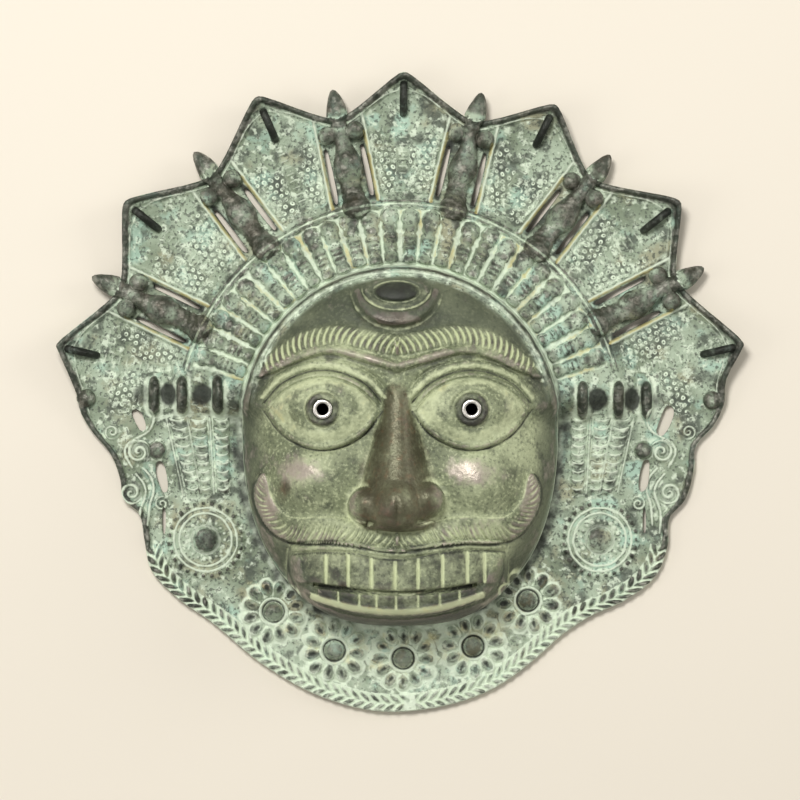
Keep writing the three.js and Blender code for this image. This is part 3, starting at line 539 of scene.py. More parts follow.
@dataclass
class Mouth:
    """Bared teeth between two rolled lips, in a block with round corners."""

    upper_lip: Points = (
        (-53, -61), (-38, -59.8), (-22, -60), (-8, -62.3), (0, -63), (10, -62), (26, -59.3), (40, -58.8),
        (54, -59.8),
    )
    lower_lip: Points = ((-43, -84.2), (-22, -89.6), (0, -91.8), (22, -89.4), (43, -83.4))
    slit: Points = ((-40, -78.8), (-18, -81.4), (0, -82.2), (18, -81.6), (38, -78.8))
    upper_grooves: tuple[float, ...] = (-35, -24, -12.6, -1, 10.3, 22.4, 34.6, 43.2)
    lower_grooves: tuple[float, ...] = (-29, -18.6, -10.2, -0.6, 10.3, 21, 30.7)
    block_left: float = -53.5
    block_right: float = 53.5

    def press(self, sheet: Sheet) -> None:
        """Lays the lips and both rows of teeth, and cuts the slit between them."""
        cx = sheet.fan.centre_x
        place = lambda path: tuple((cx + u, v) for u, v in path)
        upper, lower, slit = (Course(place(path)) for path in (self.upper_lip, self.lower_lip, self.slit))
        i = sheet.near(cx, -75.0, 60.0)
        u, y = sheet.x[i] - cx, sheet.y[i]
        top = np.interp(u, *np.array(self.upper_lip, float).T) - 2.6
        foot = np.interp(u, *np.array(self.slit, float).T) + 0.4
        ends = smooth(self.block_left - 1.0, self.block_left + 3.0, u)
        ends *= 1.0 - smooth(self.block_right - 3.0, self.block_right + 1.0, u)
        row = smooth(0.0, 1.2, top - y) * smooth(-0.4, 1.6, y - foot) * ends
        groove = sum(bump((u - g) / 1.6) for g in self.upper_grooves)
        sheet.z[i] += row * (2.3 - 1.5 * groove * (np.abs(u + 0.5) < 45.0))
        pale = row * groove * (np.abs(u + 0.5) < 45.0)
        sheet.dust_and_light[i] = np.maximum(sheet.dust_and_light[i], pale)
        sheet.soot_and_shade[i] = np.maximum(sheet.soot_and_shade[i], 0.5 * row * (1.0 - groove) * smooth(50.0, 42.0, np.abs(u)))
        low_top = np.interp(u, *np.array(self.slit, float).T) - 0.9
        low_foot = np.interp(u, *np.array(self.lower_lip, float).T) + 1.0
        inside = (np.abs(u) < 39.0) * smooth(0.0, 1.0, low_top - y) * smooth(-0.5, 0.6, y - low_foot)
        low_groove = sum(bump((u - g) / 1.2) for g in self.lower_grooves)
        sheet.z[i] += inside * (1.7 - 1.4 * low_groove)
        sheet.dust_and_light[i] = np.maximum(sheet.dust_and_light[i], 0.7 * inside * low_groove)
        sheet.soot_and_shade[i] = np.maximum(sheet.soot_and_shade[i], 0.6 * inside * (1.0 - low_groove))
        sheet.roll(upper, 2.3, 3.0, 0.05)
        sheet.score(Course(place(tuple((u, v + 2.9) for u, v in self.upper_lip))), 1.0, 1.0)
        sheet.roll(lower, 2.4, 3.0, 0.1)
        sheet.chalk(lower, 3.2, 0.95)
        # Painted shadow under the lower lip, and painted shade along the creases above and below the upper
        # lip.
        sheet.shade_line(Course(place(tuple((u, v - 6.6) for u, v in self.lower_lip))), 4.8, 0.72)
        sheet.shade_line(Course(place(tuple((u, v - 3.0) for u, v in self.upper_lip))), 1.3, 0.8)
        sheet.shade_line(Course(place(tuple((u, v + 3.0) for u, v in self.upper_lip))), 1.3, 0.6)
        sheet.score(Course(place(tuple((0.98 * u, v - 3.4) for u, v in self.lower_lip))), 1.2, 1.3)
        sheet.score(slit, 1.3, 5.0)
        # Painted shade in the slit between the teeth.
        i, s, d = sheet.along(slit, 2.2)
        sheet.soot_and_shade[i] = np.maximum(sheet.soot_and_shade[i], bump(d / 1.9) * (s > 1.0) * (s < slit.length - 1.0))
        for sign, fold in ((-1, -51.0), (1, 50.0)):
            out = lambda path: Course(place(tuple((fold + sign * u, v) for u, v in path)))
            sheet.roll(out(((0.0, -63.0), (-1.2, -70.0), (-4.2, -79.0), (-8.5, -84.0))), 3.2, 2.2, 0.25)
            crease = out(((3.4, -62.0), (2.6, -72.0), (-1.0, -82.0)))
            sheet.score(crease, 1.1, 1.0)
            # Painted shade in the corner's crease and beside its roll.
            sheet.shade_line(crease, 1.6, 0.6)
            sheet.shade_line(out(((-4.0, -66.0), (-6.0, -74.0))), 1.6, 0.5)


@dataclass
class ThirdEye:
    """An eye on the forehead: a dark oval over a pale rim and a broad shining lower lid."""

    y: float = 66.0
    half_width: float = 10.5
    half_height: float = 4.9

    def press(self, sheet: Sheet) -> None:
        """Raises the pupil and the crescent lid, and scores the rims between them."""
        cx = sheet.fan.centre_x - 0.3
        i = sheet.near(cx, self.y - 6.0, 30.0)
        u, v = sheet.x[i] - cx, sheet.y[i] - self.y
        pupil = np.hypot(u / self.half_width, v / self.half_height)
        sheet.z[i] += 3.4 * cap(pupil) - 0.8 * bump((pupil - 1.12) / 0.16)
        sheet.soot_and_shade[i] = np.maximum(sheet.soot_and_shade[i], 0.72 * smooth(1.1, 0.9, pupil))
        rim = np.hypot(u / 16.8, (v - 1.5) / 10.6)
        lid = np.hypot(u / 22.0, (v - 1.5) / 19.6)
        between = smooth(1.0, 1.12, rim) * (1.0 - smooth(0.86, 1.0, lid)) * smooth(3.5, -1.5, v)
        sheet.soot_and_shade[i] = np.maximum(sheet.soot_and_shade[i], 0.5 * between)
        ring = smooth(1.1, 1.25, pupil) * smooth(1.0, 0.9, rim) * (v < 2.0)
        sheet.dust_and_light[i] = np.maximum(sheet.dust_and_light[i], 0.3 * ring)
        sheet.z[i] += 3.6 * between - 1.0 * bump((rim - 1.03) / 0.09) * smooth(4.0, 0.0, v)
        sheet.z[i] -= 0.9 * bump((lid - 1.04) / 0.06) * smooth(4.0, 0.0, v)
        upper = np.hypot(u / 15.5, (v + 1.0) / 7.6)
        sheet.z[i] += 0.9 * bump((upper - 1.0) / 0.14) * (v > -1.0)


@dataclass
class Crown:
    """The band of radial balusters between the forehead's roll and the petals."""

    count: int = 26
    start: float = 19.0
    end: float = 161.0
    roll_radius: float = 77.3
    profile: Points = (
        (80.6, 0.8), (81.6, 3.1), (84.6, 3.2), (86.0, 2.5), (87.5, 3.0), (95.0, 3.3), (96.4, 2.5),
        (98.0, 3.4), (100.6, 3.3), (101.8, 3.8), (103.5, 4.3), (107.0, 3.7), (108.4, 1.2),
    )
    rings: tuple[float, ...] = (88.6, 91.0, 93.4)

    def press(self, sheet: Sheet) -> None:
        """Lays the forehead's roll, the balusters with their beads and rings, and the fillets."""
        halo = sheet.fan.halo_share(sheet.angle)
        r = sheet.r
        face_edge = sheet.fan.face(sheet.angle)
        sheet.z += halo * 3.2 * cap((r - self.roll_radius) / 2.1)
        sheet.z -= halo * 3.6 * bump((r - face_edge - 1.2) / 1.1)
        i = np.flatnonzero((r > 78.0) & (r < 118.0) & (sheet.angle > 8.0) & (sheet.angle < 172.0))
        ri, angle = r[i], sheet.angle[i]
        pitch = (self.end - self.start) / (self.count - 1)
        place = (angle - self.start) / pitch
        index = np.clip(np.round(place), 0, self.count - 1)
        t = np.radians((place - index) * pitch) * ri
        t += 0.35 * np.sin(index * 2.3) + 0.02 * (ri - 95.0) * np.sin(index * 4.1)
        shift = 0.7 * np.sin(index * 3.7)
        half = np.interp(ri + shift, *np.array(self.profile, float).T, left=0.0, right=0.0)
        body = cap(t / np.maximum(half, 0.1)) * (half > 0.25)
        rings = sum(bump((ri + shift - ring) / 0.95) for ring in self.rings)
        height = 0.62 * half + 1.15 * rings * (half > 1.0) + 0.5 * wobble(t, ri, 4.0, 3.0)
        lobes = np.zeros_like(ri)
        for lr, lt, size in (
            (106.0, 0.0, 2.7), (103.4, -2.5, 2.5), (103.4, 2.5, 2.5), (83.2, 0.0, 2.9), (98.8, 0.0, 3.0)
        ):
            lobes = np.maximum(lobes, size * cap(np.hypot(ri + shift - lr, t - lt) / size))
        sheet.z[i] += np.maximum(body**0.6 * height, lobes)
        sheet.dust_and_light[i] = np.maximum(sheet.dust_and_light[i], 0.43 * bump((np.abs(t) - half - 0.1) / 0.6) * (half > 1.0))
        gap = (np.abs(t) > half) & (ri > 81.0) & (ri < 108.0) & (np.abs(place - index) < 0.6)
        depth = np.clip((np.abs(t) - half) / 0.9, 0.0, 1.0) * gap
        sheet.z[i] -= 1.2 * depth
        sheet.grime[i] += 0.7 * depth * (0.55 + 0.45 * np.sin(index * 5.1 + 0.15 * ri))
        halo = halo * (sheet.y > 27.0)
        for at, size, lift in ((109.4, 1.1, 1.3), (110.9, 0.8, -0.9), (112.1, 0.9, 1.1)):
            sheet.z += halo * lift * bump((r - at) / size)


@dataclass
class Petals:
    """Seven dished lotus petals with a rolled rim, rows of tiny rings, a ladder and two curls."""

    slit_offset: float = 9.2
    bar_offset: float = 12.3
    ring_pitch: float = 3.5
    ring_radius: float = 0.95

    def press(self, sheet: Sheet) -> None:
        """Works each petal in coordinates along and across its own axis."""
        fan = sheet.fan
        inside = (sheet.r > 112.0) & (sheet.angle > 2.0) & (sheet.angle < 178.0)
        for index, axis in enumerate(fan.petal_angles):
            turn = (sheet.angle - axis + 180.0) % 360.0 - 180.0
            i = np.flatnonzero(inside & (np.abs(turn) < 14.0))
            p = sheet.r[i] * np.cos(np.radians(turn[i]))
            q = sheet.r[i] * np.sin(np.radians(turn[i]))
            self.work(sheet, i, p, q, index)

    def work(self, sheet: Sheet, i: Array, p: Array, q: Array, index: int) -> None:
        """Presses one petal's bars, dish, rim line, rings, ladder and curls."""
        fan = sheet.fan
        column_gap = np.full_like(p, 99.0)
        for column in fan.column_angles:
            off = np.radians(sheet.angle[i] - column)
            beside = np.where(np.abs(off) < 1.0, np.abs(sheet.r[i] * np.sin(off)), 99.0)
            column_gap = np.minimum(column_gap, beside)
        r, edge = sheet.r[i], sheet.edge[i]
        bar = bump((column_gap - self.bar_offset) / 1.7) * smooth(111.0, 114.0, r) * smooth(2.0, 6.0, edge)
        sheet.z[i] += 1.7 * bar
        sheet.dust_and_light[i] = np.maximum(sheet.dust_and_light[i], 0.8 * bar)
        open_field = smooth(self.bar_offset + 0.8, self.bar_offset + 3.0, column_gap)
        open_field *= smooth(114.5, 118.5, p) * smooth(4.4, 7.0, edge)
        open_field *= (sheet.y[i] > 26.0) | (np.abs(sheet.x[i]) > 130.0)
        half = np.maximum(r * np.tan(np.radians(12.5)) - self.bar_offset + 9.0, 6.0)
        sheet.z[i] -= 1.6 * open_field * np.clip(1.0 - (q / half) ** 2, 0.0, 1.0)
        brim_at = 4.2 + 4.0 * np.exp(-((q / 8.0) ** 2))
        brim = bump((edge - brim_at) / 0.8) * smooth(140.0, 148.0, p)
        curled = smooth(brim_at, brim_at - 1.5, edge) * smooth(144.0, 150.0, p)
        sheet.soot_and_shade[i] = np.maximum(sheet.soot_and_shade[i], (0.16 + 0.24 * np.exp(-((q / 11.0) ** 2))) * curled)
        sheet.z[i] += 0.7 * brim
        sheet.dust_and_light[i] = np.maximum(sheet.dust_and_light[i], 0.7 * brim)
        warp = wobble(p, q, 17.0, 1.0 + index)
        row = np.floor((p + 0.9 * warp) / (self.ring_pitch * 0.87))
        gp = (p + 0.9 * warp) / (self.ring_pitch * 0.87) - row - 0.5
        across = (q + 0.9 * wobble(q, p, 13.0, 3.0 + index)) / self.ring_pitch
        gq = (across + 0.5 * (row % 2)) % 1.0 - 0.5
        grain = np.hypot(gp * self.ring_pitch * 0.87, gq * self.ring_pitch)
        ladder_side = smooth(2.6, 3.6, np.abs(q))
        top_line = 152.0 - 0.35 * np.abs(q)
        curls_clear = 1.0 - smooth(138.0, 141.0, p) * (1.0 - smooth(9.5, 11.0, np.abs(q)))
        sown = open_field * smooth(top_line + 1.5, top_line - 1.5, p) * ladder_side * curls_clear
        sheet.sown[i] = np.maximum(sheet.sown[i], sown)
        sheet.sow_u[i] = np.where(sown > 0.0, gp + 0.5 + row, sheet.sow_u[i])
        sheet.sow_v[i] = np.where(sown > 0.0, across, sheet.sow_v[i])
        knob = sown * bump(grain / 1.6)
        sheet.z[i] += 1.15 * knob * np.where(grain < self.ring_radius, 0.8, 1.0)
        rung = bump((((p - 121.0) / 3.6) % 1.0 - 0.5) / 0.26)
        ladder = open_field * (p > 121.0) * (p < 153.0)
        rung = ladder * rung * (1.0 - smooth(1.9, 2.6, np.abs(q)))
        sheet.z[i] += 0.9 * rung
        sheet.dust_and_light[i] = np.maximum(sheet.dust_and_light[i], 0.6 * rung)
        # Painted shade along both sides of each slit.
        slit = (r > 113.5) & (r < 144.0)
        sheet.soot_and_shade[i] = np.maximum(sheet.soot_and_shade[i], slit * bump((column_gap - self.slit_offset) / 3.2))
        sheet.grime[i] += 0.8 * (r > 109.0) * (r < 149.0) * bump((column_gap - self.slit_offset - 2.4) / 1.8)
        sheet.z[i] += 0.6 * ladder * bump((np.abs(q + 2.4)) / 0.6)
        for sign in (-1, 1):
            d = np.hypot(p - 147.5, q - sign * 6.6)
            arc = bump((d - 3.9) / 0.8) * smooth(3.8, 2.0, (p - 147.5) + 0.3 * sign * (q - sign * 6.6))
            sheet.z[i] += 0.9 * arc * open_field
            sheet.dust_and_light[i] = np.maximum(sheet.dust_and_light[i], 0.4 * arc * open_field)


@dataclass
class Temple:
    """The ear pipes, the tapering strips of scales under them, and the pierced side scrolls."""

    bar_y: float
    side: Side
    rings: tuple[float, ...] = (91.0, 109.0, 123.3)
    strips: tuple[tuple[float, float, float], ...] = (
        (112.0, 103.5, 4.6), (101.4, 97.6, 4.6), (89.6, 88.6, 4.4),
    )
    dividers: Points = ((117.5, 109.0), (107.0, 99.8), (95.4, 93.2))
    scale_pitch: float = 4.3
    volutes: tuple[tuple[float, float, float, float], ...] = (
        (131.0, -13.5, 6.6, 1), (134.8, -34.0, 6.4, -1), (119.4, -39.5, 4.2, 1), (144.5, -3.5, 4.4, -1),
    )

    def press(self, sheet: Sheet) -> None:
        """Works one side from its bar down to the scrolls."""
        sx = self.side.value
        i = sheet.near(sx * 118.0, -12.0, 52.0)
        x, y = sheet.x[i] * sx, sheet.y[i]
        self.bar(sheet, i, x, y)
        self.scales(sheet, i, x, y)
        for vx, vy, radius, hand in self.volutes:
            self.volute(sheet, i, x, y, (vx, vy), radius, hand)
        for path in (
            ((127.0, 9.0), (123.5, 4.5), (126.0, -3.0), (136.0, -9.0), (138.0, -14.5), (134.0, -22.0)),
            ((129.5, -21.0), (124.8, -26.5), (123.6, -33.0), (125.6, -40.5), (126.5, -51.0)),
            ((133.0, -24.0), (128.6, -29.5), (127.6, -35.0), (130.5, -44.0), (130.0, -55.0)),
        ):
            line = Course(tuple((sx * px, py) for px, py in path))
            sheet.roll(line, 1.2, 1.5, 0.1)
            sheet.chalk(line, 1.2, 0.8)
        d = np.hypot(x - 121.8, y + 12.6)
        sheet.z[i] += 3.4 * cap(d / 4.6) ** 0.6

    def bar(self, sheet: Sheet, i: Array, x: Array, y: Array) -> None:
        """The pipe across the temple: strong rings over deep hollows that are darkened with painted shade."""
        dy = y - self.bar_y
        span = smooth(75.0, 79.0, x) * smooth(128.5, 125.5, x)
        for place in self.rings:
            hoop = np.hypot((x - place) / 3.0, np.abs(dy / 9.6) ** 2.0)
            sheet.z[i] += span * 6.8 * cap(hoop) ** 0.8
            sheet.soot_and_shade[i] = np.maximum(sheet.soot_and_shade[i], 0.22 * span * smooth(1.15, 0.8, hoop))
            # Pale marks at the hoops' top and bottom ends: pale salts and a painted highlight.
            halo = np.hypot((x - place) / 4.2, dy / 10.6)
            ends = 0.5 * span * bump((halo - 1.0) / 0.16) * (np.abs(dy) > 7.0)
            sheet.dust_and_light[i] = np.maximum(sheet.dust_and_light[i], ends)
        sheet.z[i] += span * 2.2 * bump(dy / 13.0)
        for place in self.rings:
            for ky, size in ((8.4, 3.9), (-7.4, 3.3)):
                knob = cap(np.hypot(x - place - 0.6 * math.sin(place), dy - ky) / size)
                sheet.z[i] += 1.9 * knob * span
        # Each hollow is sunk and darkened with painted shade.
        for hx, wide, amount in ((82.5, 5.0, 0.35), (98.8, 6.6, 1.0), (116.0, 5.2, 1.0)):
            away = np.hypot((x - hx) / wide, (dy - 0.4) / 7.0)
            sheet.z[i] -= 3.0 * amount * span * smooth(1.2, 0.4, away)
            sheet.soot_and_shade[i] = np.maximum(sheet.soot_and_shade[i], 1.15 * amount * span * smooth(1.25, 0.35, away))
        shadow = smooth(1.2, 0.4, np.hypot((x - 129.5) / 6.0, dy / 7.0))
        sheet.soot_and_shade[i] = np.maximum(sheet.soot_and_shade[i], 0.6 * shadow)

    def scales(self, sheet: Sheet, i: Array, x: Array, y: Array) -> None:
        """Rows of crescent scales in strips that lean inwards, with pale ridges between."""
        t = np.clip((5.0 - y) / 39.0, 0.0, 1.0)
        zone = smooth(5.4, 3.0, y) * smooth(-36.5, -33.5, y)
        for top, foot, half in self.strips:
            across = (x - (top + (foot - top) * t)) / (half * (1.0 - 0.22 * t))
            row = (y + 1.5 * (1.0 - across**2)) / self.scale_pitch
            tooth = (row % 1.0)
            scale = np.clip(tooth / 0.75, 0.0, 1.0) * smooth(1.0, 0.85, tooth)
            sheet.z[i] += zone * smooth(1.0, 0.86, np.abs(across)) * (0.5 + 1.7 * scale * cap(across) ** 0.4)
            crescent = bump((tooth - 0.82) / 0.2) * smooth(1.0, 0.7, np.abs(across))
            sheet.dust_and_light[i] = np.maximum(sheet.dust_and_light[i], 0.85 * zone * crescent)
            pit = bump((tooth - 0.35) / 0.35) * smooth(0.9, 0.5, np.abs(across))
            sheet.soot_and_shade[i] = np.maximum(sheet.soot_and_shade[i], 0.42 * zone * pit)
        for top, foot in self.dividers:
            line = x - (top + (foot - top) * t)
            sheet.z[i] += 1.3 * zone * bump(line / 1.1)
            sheet.dust_and_light[i] = np.maximum(sheet.dust_and_light[i], 0.6 * zone * bump(line / 1.2))

    def volute(
        self, sheet: Sheet, i: Array, x: Array, y: Array,
        centre: tuple[float, float], radius: float, hand: float,
    ) -> None:
        """A coiled ridge: the radius falls by one pitch at each turn."""
        d = np.hypot(x - centre[0], y - centre[1])
        turn = hand * np.arctan2(y - centre[1], x - centre[0]) / (2.0 * np.pi)
        pitch = radius / 1.9
        arm = ((radius - d) / pitch + turn) % 1.0
        ridge = bump((arm - 0.5) / 0.42) * (d < radius)
        sheet.z[i] += 1.7 * ridge * smooth(radius, radius - 1.0, d) + 1.2 * bump(d / 1.6)
        sheet.dust_and_light[i] = np.maximum(sheet.dust_and_light[i], 0.8 * ridge * smooth(radius, radius - 1.0, d))
        # Painted shade between the coil's arms.
        sheet.soot_and_shade[i] = np.maximum(sheet.soot_and_shade[i], 0.5 * (1.0 - ridge) * smooth(radius + 1.0, radius - 1.0, d))


@dataclass
class Bib:
    """The flat collar below the face: ear discs, rosettes, the leaf border and the plain edge."""

    discs: Points = ((-97.5, -57.5), (100.0, -57.5))
    rosettes: Points = ((-63.5, -93.5), (-33, -113), (1.5, -117), (36.5, -111), (64, -88))
    petals: tuple[int, ...] = (12, 11, 12, 11, 11)
    border_from: float = 206.0
    border_to: float = 335.0
    border_join: float = 272.0
    leaf_pitch: float = 5.2
    edge_roll: float = 1.7

    def press(self, sheet: Sheet) -> None:
        """Lays every disc and flower, then the border and the edge."""
        for place in self.discs:
            self.disc(sheet, place)
        for index, place in enumerate(self.rosettes):
            self.rosette(sheet, place, self.petals[index], 0.4 * index)
        self.border(sheet)

    def disc(self, sheet: Sheet, place: tuple[float, float]) -> None:
        """A round ear ornament: boss, ring of fine teeth, two ridges and a toothed edge."""
        i = sheet.near(*place, 21.0)
        dx, dy = sheet.x[i] - place[0], sheet.y[i] - place[1]
        d = np.hypot(dx, dy) + 0.25 * wobble(dx, dy, 9.0, place[0])
        turn = np.arctan2(dy, dx)
        radial = (
            (0, 4.2), (2.5, 4.0), (5.2, 2.9), (6.4, 1.2), (7.0, 0.2), (8.0, 0.9), (12.6, 0.9),
            (13.2, 2.2), (14.2, 0.7), (15.2, 0.7), (15.9, 2.2), (16.8, 0.6), (19.6, 0.6), (20.6, 0.0),
        )
        z = np.interp(d, *np.array(radial, float).T)
        z += 1.25 * bump((d - 9.8) / 2.0) * (0.5 + 0.5 * np.cos(19 * turn))
        tooth = smooth(-0.3, 0.4, np.cos(27 * turn))
        z += 2.0 * bump((d - 18.1) / 1.8) ** 0.7 * tooth
        sheet.z[i] += z
        pale = np.maximum(bump((d - 13.2) / 1.0), bump((d - 15.9) / 1.0))
        gap = ((27 * turn / (2 * np.pi)) % 1.0 - 0.5) / 0.34
        pale = np.maximum(pale, 0.95 * bump((d - 18.2) / 2.2) * bump(gap))
        pale = np.maximum(pale, 0.8 * bump((d - 9.6) / 1.6) * (0.5 + 0.5 * np.cos(19 * turn)))
        sheet.dust_and_light[i] = np.maximum(sheet.dust_and_light[i], pale)
        # The toothed ring and the boss are dark; the grooves round the boss and between the two ridges get
        # painted shade.
        dark = np.maximum(0.45 * bump((d - 18.1) / 1.8) * tooth, 0.6 * bump((d - 7.2) / 1.2))
        dark = np.maximum(dark, np.maximum(0.5 * bump((d - 14.5) / 0.9), 0.6 * smooth(6.4, 3.0, d)))
        sheet.soot_and_shade[i] = np.maximum(sheet.soot_and_shade[i], dark)

    def rosette(self, sheet: Sheet, place: tuple[float, float], petals: int, phase: float) -> None:
        """A flower: domed boss, ring, and drop-shaped petals that are cupped towards their tips."""
        i = sheet.near(*place, 18.0)
        dx, dy = sheet.x[i] - place[0], sheet.y[i] - place[1]
        d, turn = np.hypot(dx, dy), np.arctan2(dy, dx) + phase
        share = (turn * petals / (2 * np.pi)) % 1.0 - 0.5
        index = np.floor(turn * petals / (2 * np.pi))
        t = share * (2 * np.pi / petals) * d
        reach = 12.0 + 0.6 * np.sin(index * 2.4 + place[0])
        shape = np.hypot((d - reach) / 4.7, t / (1.9 + 0.13 * d))
        z = 2.7 * cap(shape)
        z -= 1.5 * bump(np.hypot((d - reach + 0.2) / 3.0, t / 1.9)) * (shape < 1)
        z += 0.7 * bump((d - 7.6) / 1.2)
        z = np.maximum(z, 1.9 * bump((d - 6.7) / 1.3))
        z = np.maximum(z, 3.3 * cap(d / 5.0) ** 0.7)
        sheet.z[i] += z
        pale = np.maximum(0.9 * bump((shape - 1.0) / 0.25) * (d > 8.0), bump((d - 6.7) / 1.0))
        sheet.dust_and_light[i] = np.maximum(sheet.dust_and_light[i], pale)
        # Painted shade in the petals' cups, between the petals and in the groove round the boss; the boss
        # itself is dark.
        cup = smooth(0.85, 0.4, np.hypot((d - reach + 0.2) / 3.6, t / 2.2))
        between = smooth(1.15, 1.5, shape) * bump((d - 14.5) / 4.0)
        middle = np.maximum(bump((d - 5.4) / 0.9), 0.5 * (d < 4.6))
        dark = np.maximum(np.maximum(0.75 * cup, 0.6 * between), middle)
        sheet.soot_and_shade[i] = np.maximum(sheet.soot_and_shade[i], dark)

    def border(self, sheet: Sheet) -> None:
        """Two rows of leaves either side of a middle line, from each end down to the join."""
        roll = cap((sheet.edge - self.edge_roll) / (self.edge_roll + 0.2))
        zone = smooth(self.border_from - 1.0, self.border_from + 1.0, sheet.angle)
        zone *= smooth(self.border_to + 1.0, self.border_to - 1.0, sheet.angle)
        sheet.z += 2.0 * roll * (1.0 - zone)
        i = np.flatnonzero((zone > 0) & (sheet.edge < 12.0))
        angle, edge = sheet.angle[i], sheet.edge[i]
        away = np.where(angle < self.border_join, -1.0, 1.0)
        s = np.radians(np.abs(angle - self.border_join)) * 141.0
        mid = 4.3
        v = edge - mid
        lean = 1.05 * np.abs(v)
        leaf = ((s - lean) / self.leaf_pitch + 0.5 * (v > 0) + 0.02 * away) % 1.0 - 0.5
        long_way = np.clip((np.abs(v) - 2.15) / 2.35, -1.0, 1.0)
        blade = cap(np.hypot(leaf / 0.4, long_way * 0.97))
        veins = 0.8 * zone[i] * (1.0 - smooth(0.25, 0.6, blade)) * (np.abs(v) < 4.6)
        sheet.dust_and_light[i] = np.maximum(sheet.dust_and_light[i], veins)
        square = smooth(3.4, 2.8, s)
        z = 1.9 * blade * (1.0 - square) + 1.6 * square * smooth(4.4, 3.6, np.abs(v))
        z += 0.8 * bump((edge - 0.7) / 0.9) + 0.5 * bump((edge - 8.9) / 0.8)
        sheet.z[i] += z * zone[i]


@dataclass
class Rods:
    """Small solids of their own that stand off the sheet, as meshes of rings round an axis."""

    columns: Points = (
        (106.0, 5.2), (109.0, 6.8), (112.5, 7.2), (115.5, 5.6), (117.5, 5.9), (118.6, 5.0), (120.0, 5.6),
        (121.2, 4.8), (122.6, 5.4), (124.0, 4.9), (127.0, 6.4), (131.0, 7.5), (135.0, 6.9), (140.0, 5.0),
        (144.0, 3.9), (150.0, 3.8), (153.5, 4.1), (154.6, 3.6), (156.0, 4.7), (159.0, 5.4), (163.0, 4.7),
        (168.0, 3.0), (170.6, 1.4), (171.2, 0.3),
    )
    axis_inner: float = 14.0
    axis_outer: float = 8.0
    bead_ring: float = 149.0
    bead_side: float = 7.2
    bead_radius: float = 4.7
    knobs: Points = ((-157.5, 13.5), (156.5, 12.5))
    knob_radius: float = 4.8
    staple_from: float = 156.0
    staple_to: float = 171.5
    staple_lift: float = 5.4

    def lathe(self, points: Array, across: Array, above: Array, size: Array, sides: int) -> Solid:
        """Rings of points: centre + size x (across cos t + above sin t), joined and capped.

        Args:
            points: the ring centres, one row each.
            across, above: unit vectors of each ring's plane.
            size: each ring's half width and half height.
            sides: how many points a ring has.

        Returns:
            The vertices, and the faces as index lists.
        """
        turn = 2 * np.pi * np.arange(sides) / sides
        ring = (
            points[:, None, :]
            + across[:, None, :] * (size[:, 0, None] * np.cos(turn))[..., None]
            + above[:, None, :] * (size[:, 1, None] * np.sin(turn))[..., None]
        )
        n = len(points)
        k = np.arange(sides)
        a = (np.arange(n - 1)[:, None] * sides + k).ravel()
        b = (np.arange(n - 1)[:, None] * sides + (k + 1) % sides).ravel()
        quads = np.column_stack([a, b, b + sides, a + sides]).tolist()
        caps = [list(range(sides))[::-1], list(range((n - 1) * sides, n * sides))]
        return ring.reshape(-1, 3), quads + caps

    def column(self, angle: float) -> list[Solid]:
        """One column between two petals, with its pointed finial and the bead at either side.

        Args:
            angle: where it stands in the fan, in degrees.

        Returns:
            The column and the beads, as vertices and faces in millimetres.
        """
        r, size = np.array(self.columns, float).T
        even = np.linspace(r[0], r[-1], 90)
        size = np.interp(even, r, size)
        along = np.array([math.cos(math.radians(angle)), math.sin(math.radians(angle)), 0.0])
        side = np.array([-along[1], along[0], 0.0])
        drift = 0.35 * np.sin(even * 0.21 + angle)
        height = self.axis_inner + (self.axis_outer - self.axis_inner) * smooth(109.0, 123.0, even)
        points = along * even[:, None] + side * drift[:, None] + np.array([0.0, 0.0, 1.0]) * height[:, None]
        n = len(even)
        parts = [self.lathe(points, np.tile(side, (n, 1)), np.tile([0.0, 0.0, 1.0], (n, 1)),
                            np.column_stack([size, 0.92 * size]), 26)]
        for sign in (-1, 1):
            centre = along * self.bead_ring + side * (sign * self.bead_side)
            centre = centre + np.array([0, 0, self.axis_outer])
            parts.append(self.ball(centre, self.bead_radius))
        return parts

    def ball(self, centre: Array, radius: float) -> Solid:
        """A bead: rings whose size is the root of r^2 - z^2."""
        level = -np.cos(np.linspace(0.06, math.pi - 0.06, 14))
        size = radius * np.sqrt(1 - level**2)
        n = len(level)
        points = centre + np.array([0.0, 0.0, 1.0]) * (radius * level)[:, None]
        return self.lathe(points, np.tile([1.0, 0.0, 0.0], (n, 1)), np.tile([0.0, 1.0, 0.0], (n, 1)),
                          np.column_stack([size, size]), 22)

    def knob(self, fan: Fan, x: float, y: float) -> Solid:
        """The ball at the lower end of an outermost petal, sunk to its middle in the sheet."""
        r, angle = np.array([math.hypot(x, y)]), np.array([math.degrees(math.atan2(y, x))])
        return self.ball(np.array([x, y, float(fan.flange(r, angle)[0])]), self.knob_radius)

    def staple(self, fan: Fan, angle: float) -> Solid:
        """The loop near a petal's tip: a bar that rises from the petal and goes back into it."""
        t = np.linspace(0.0, 1.0, 28)
        r = self.staple_from + (self.staple_to - self.staple_from) * t
        a = math.radians(angle)
        along = np.array([math.cos(a), math.sin(a), 0.0])
        side = np.array([-along[1], along[0], 0.0])
        rise = self.staple_lift * (1.25 * np.clip(np.sin(np.pi * (0.02 + 0.96 * t)), 0, None) ** 0.45 - 0.55)
        base = fan.flange(r, np.full_like(r, angle))
        points = along * r[:, None] + np.array([0.0, 0.0, 1.0]) * (base + rise)[:, None]
        ahead = np.gradient(points, axis=0)
        ahead /= np.linalg.norm(ahead, axis=1)[:, None]
        across = np.tile(side, (len(t), 1))
        return self.lathe(points, across, np.cross(ahead, across) * -1.0, np.full((len(t), 2), 1.95), 14)

    def post(self, x: float, y: float, radius: float, low: float, high: float) -> Solid:
        """An upright round post, for cutting a hole."""
        points = np.array([[x, y, low], [x, y, high]])
        return self.lathe(points, np.tile([1.0, 0.0, 0.0], (2, 1)), np.tile([0.0, 1.0, 0.0], (2, 1)),
                          np.full((2, 2), radius), 40)

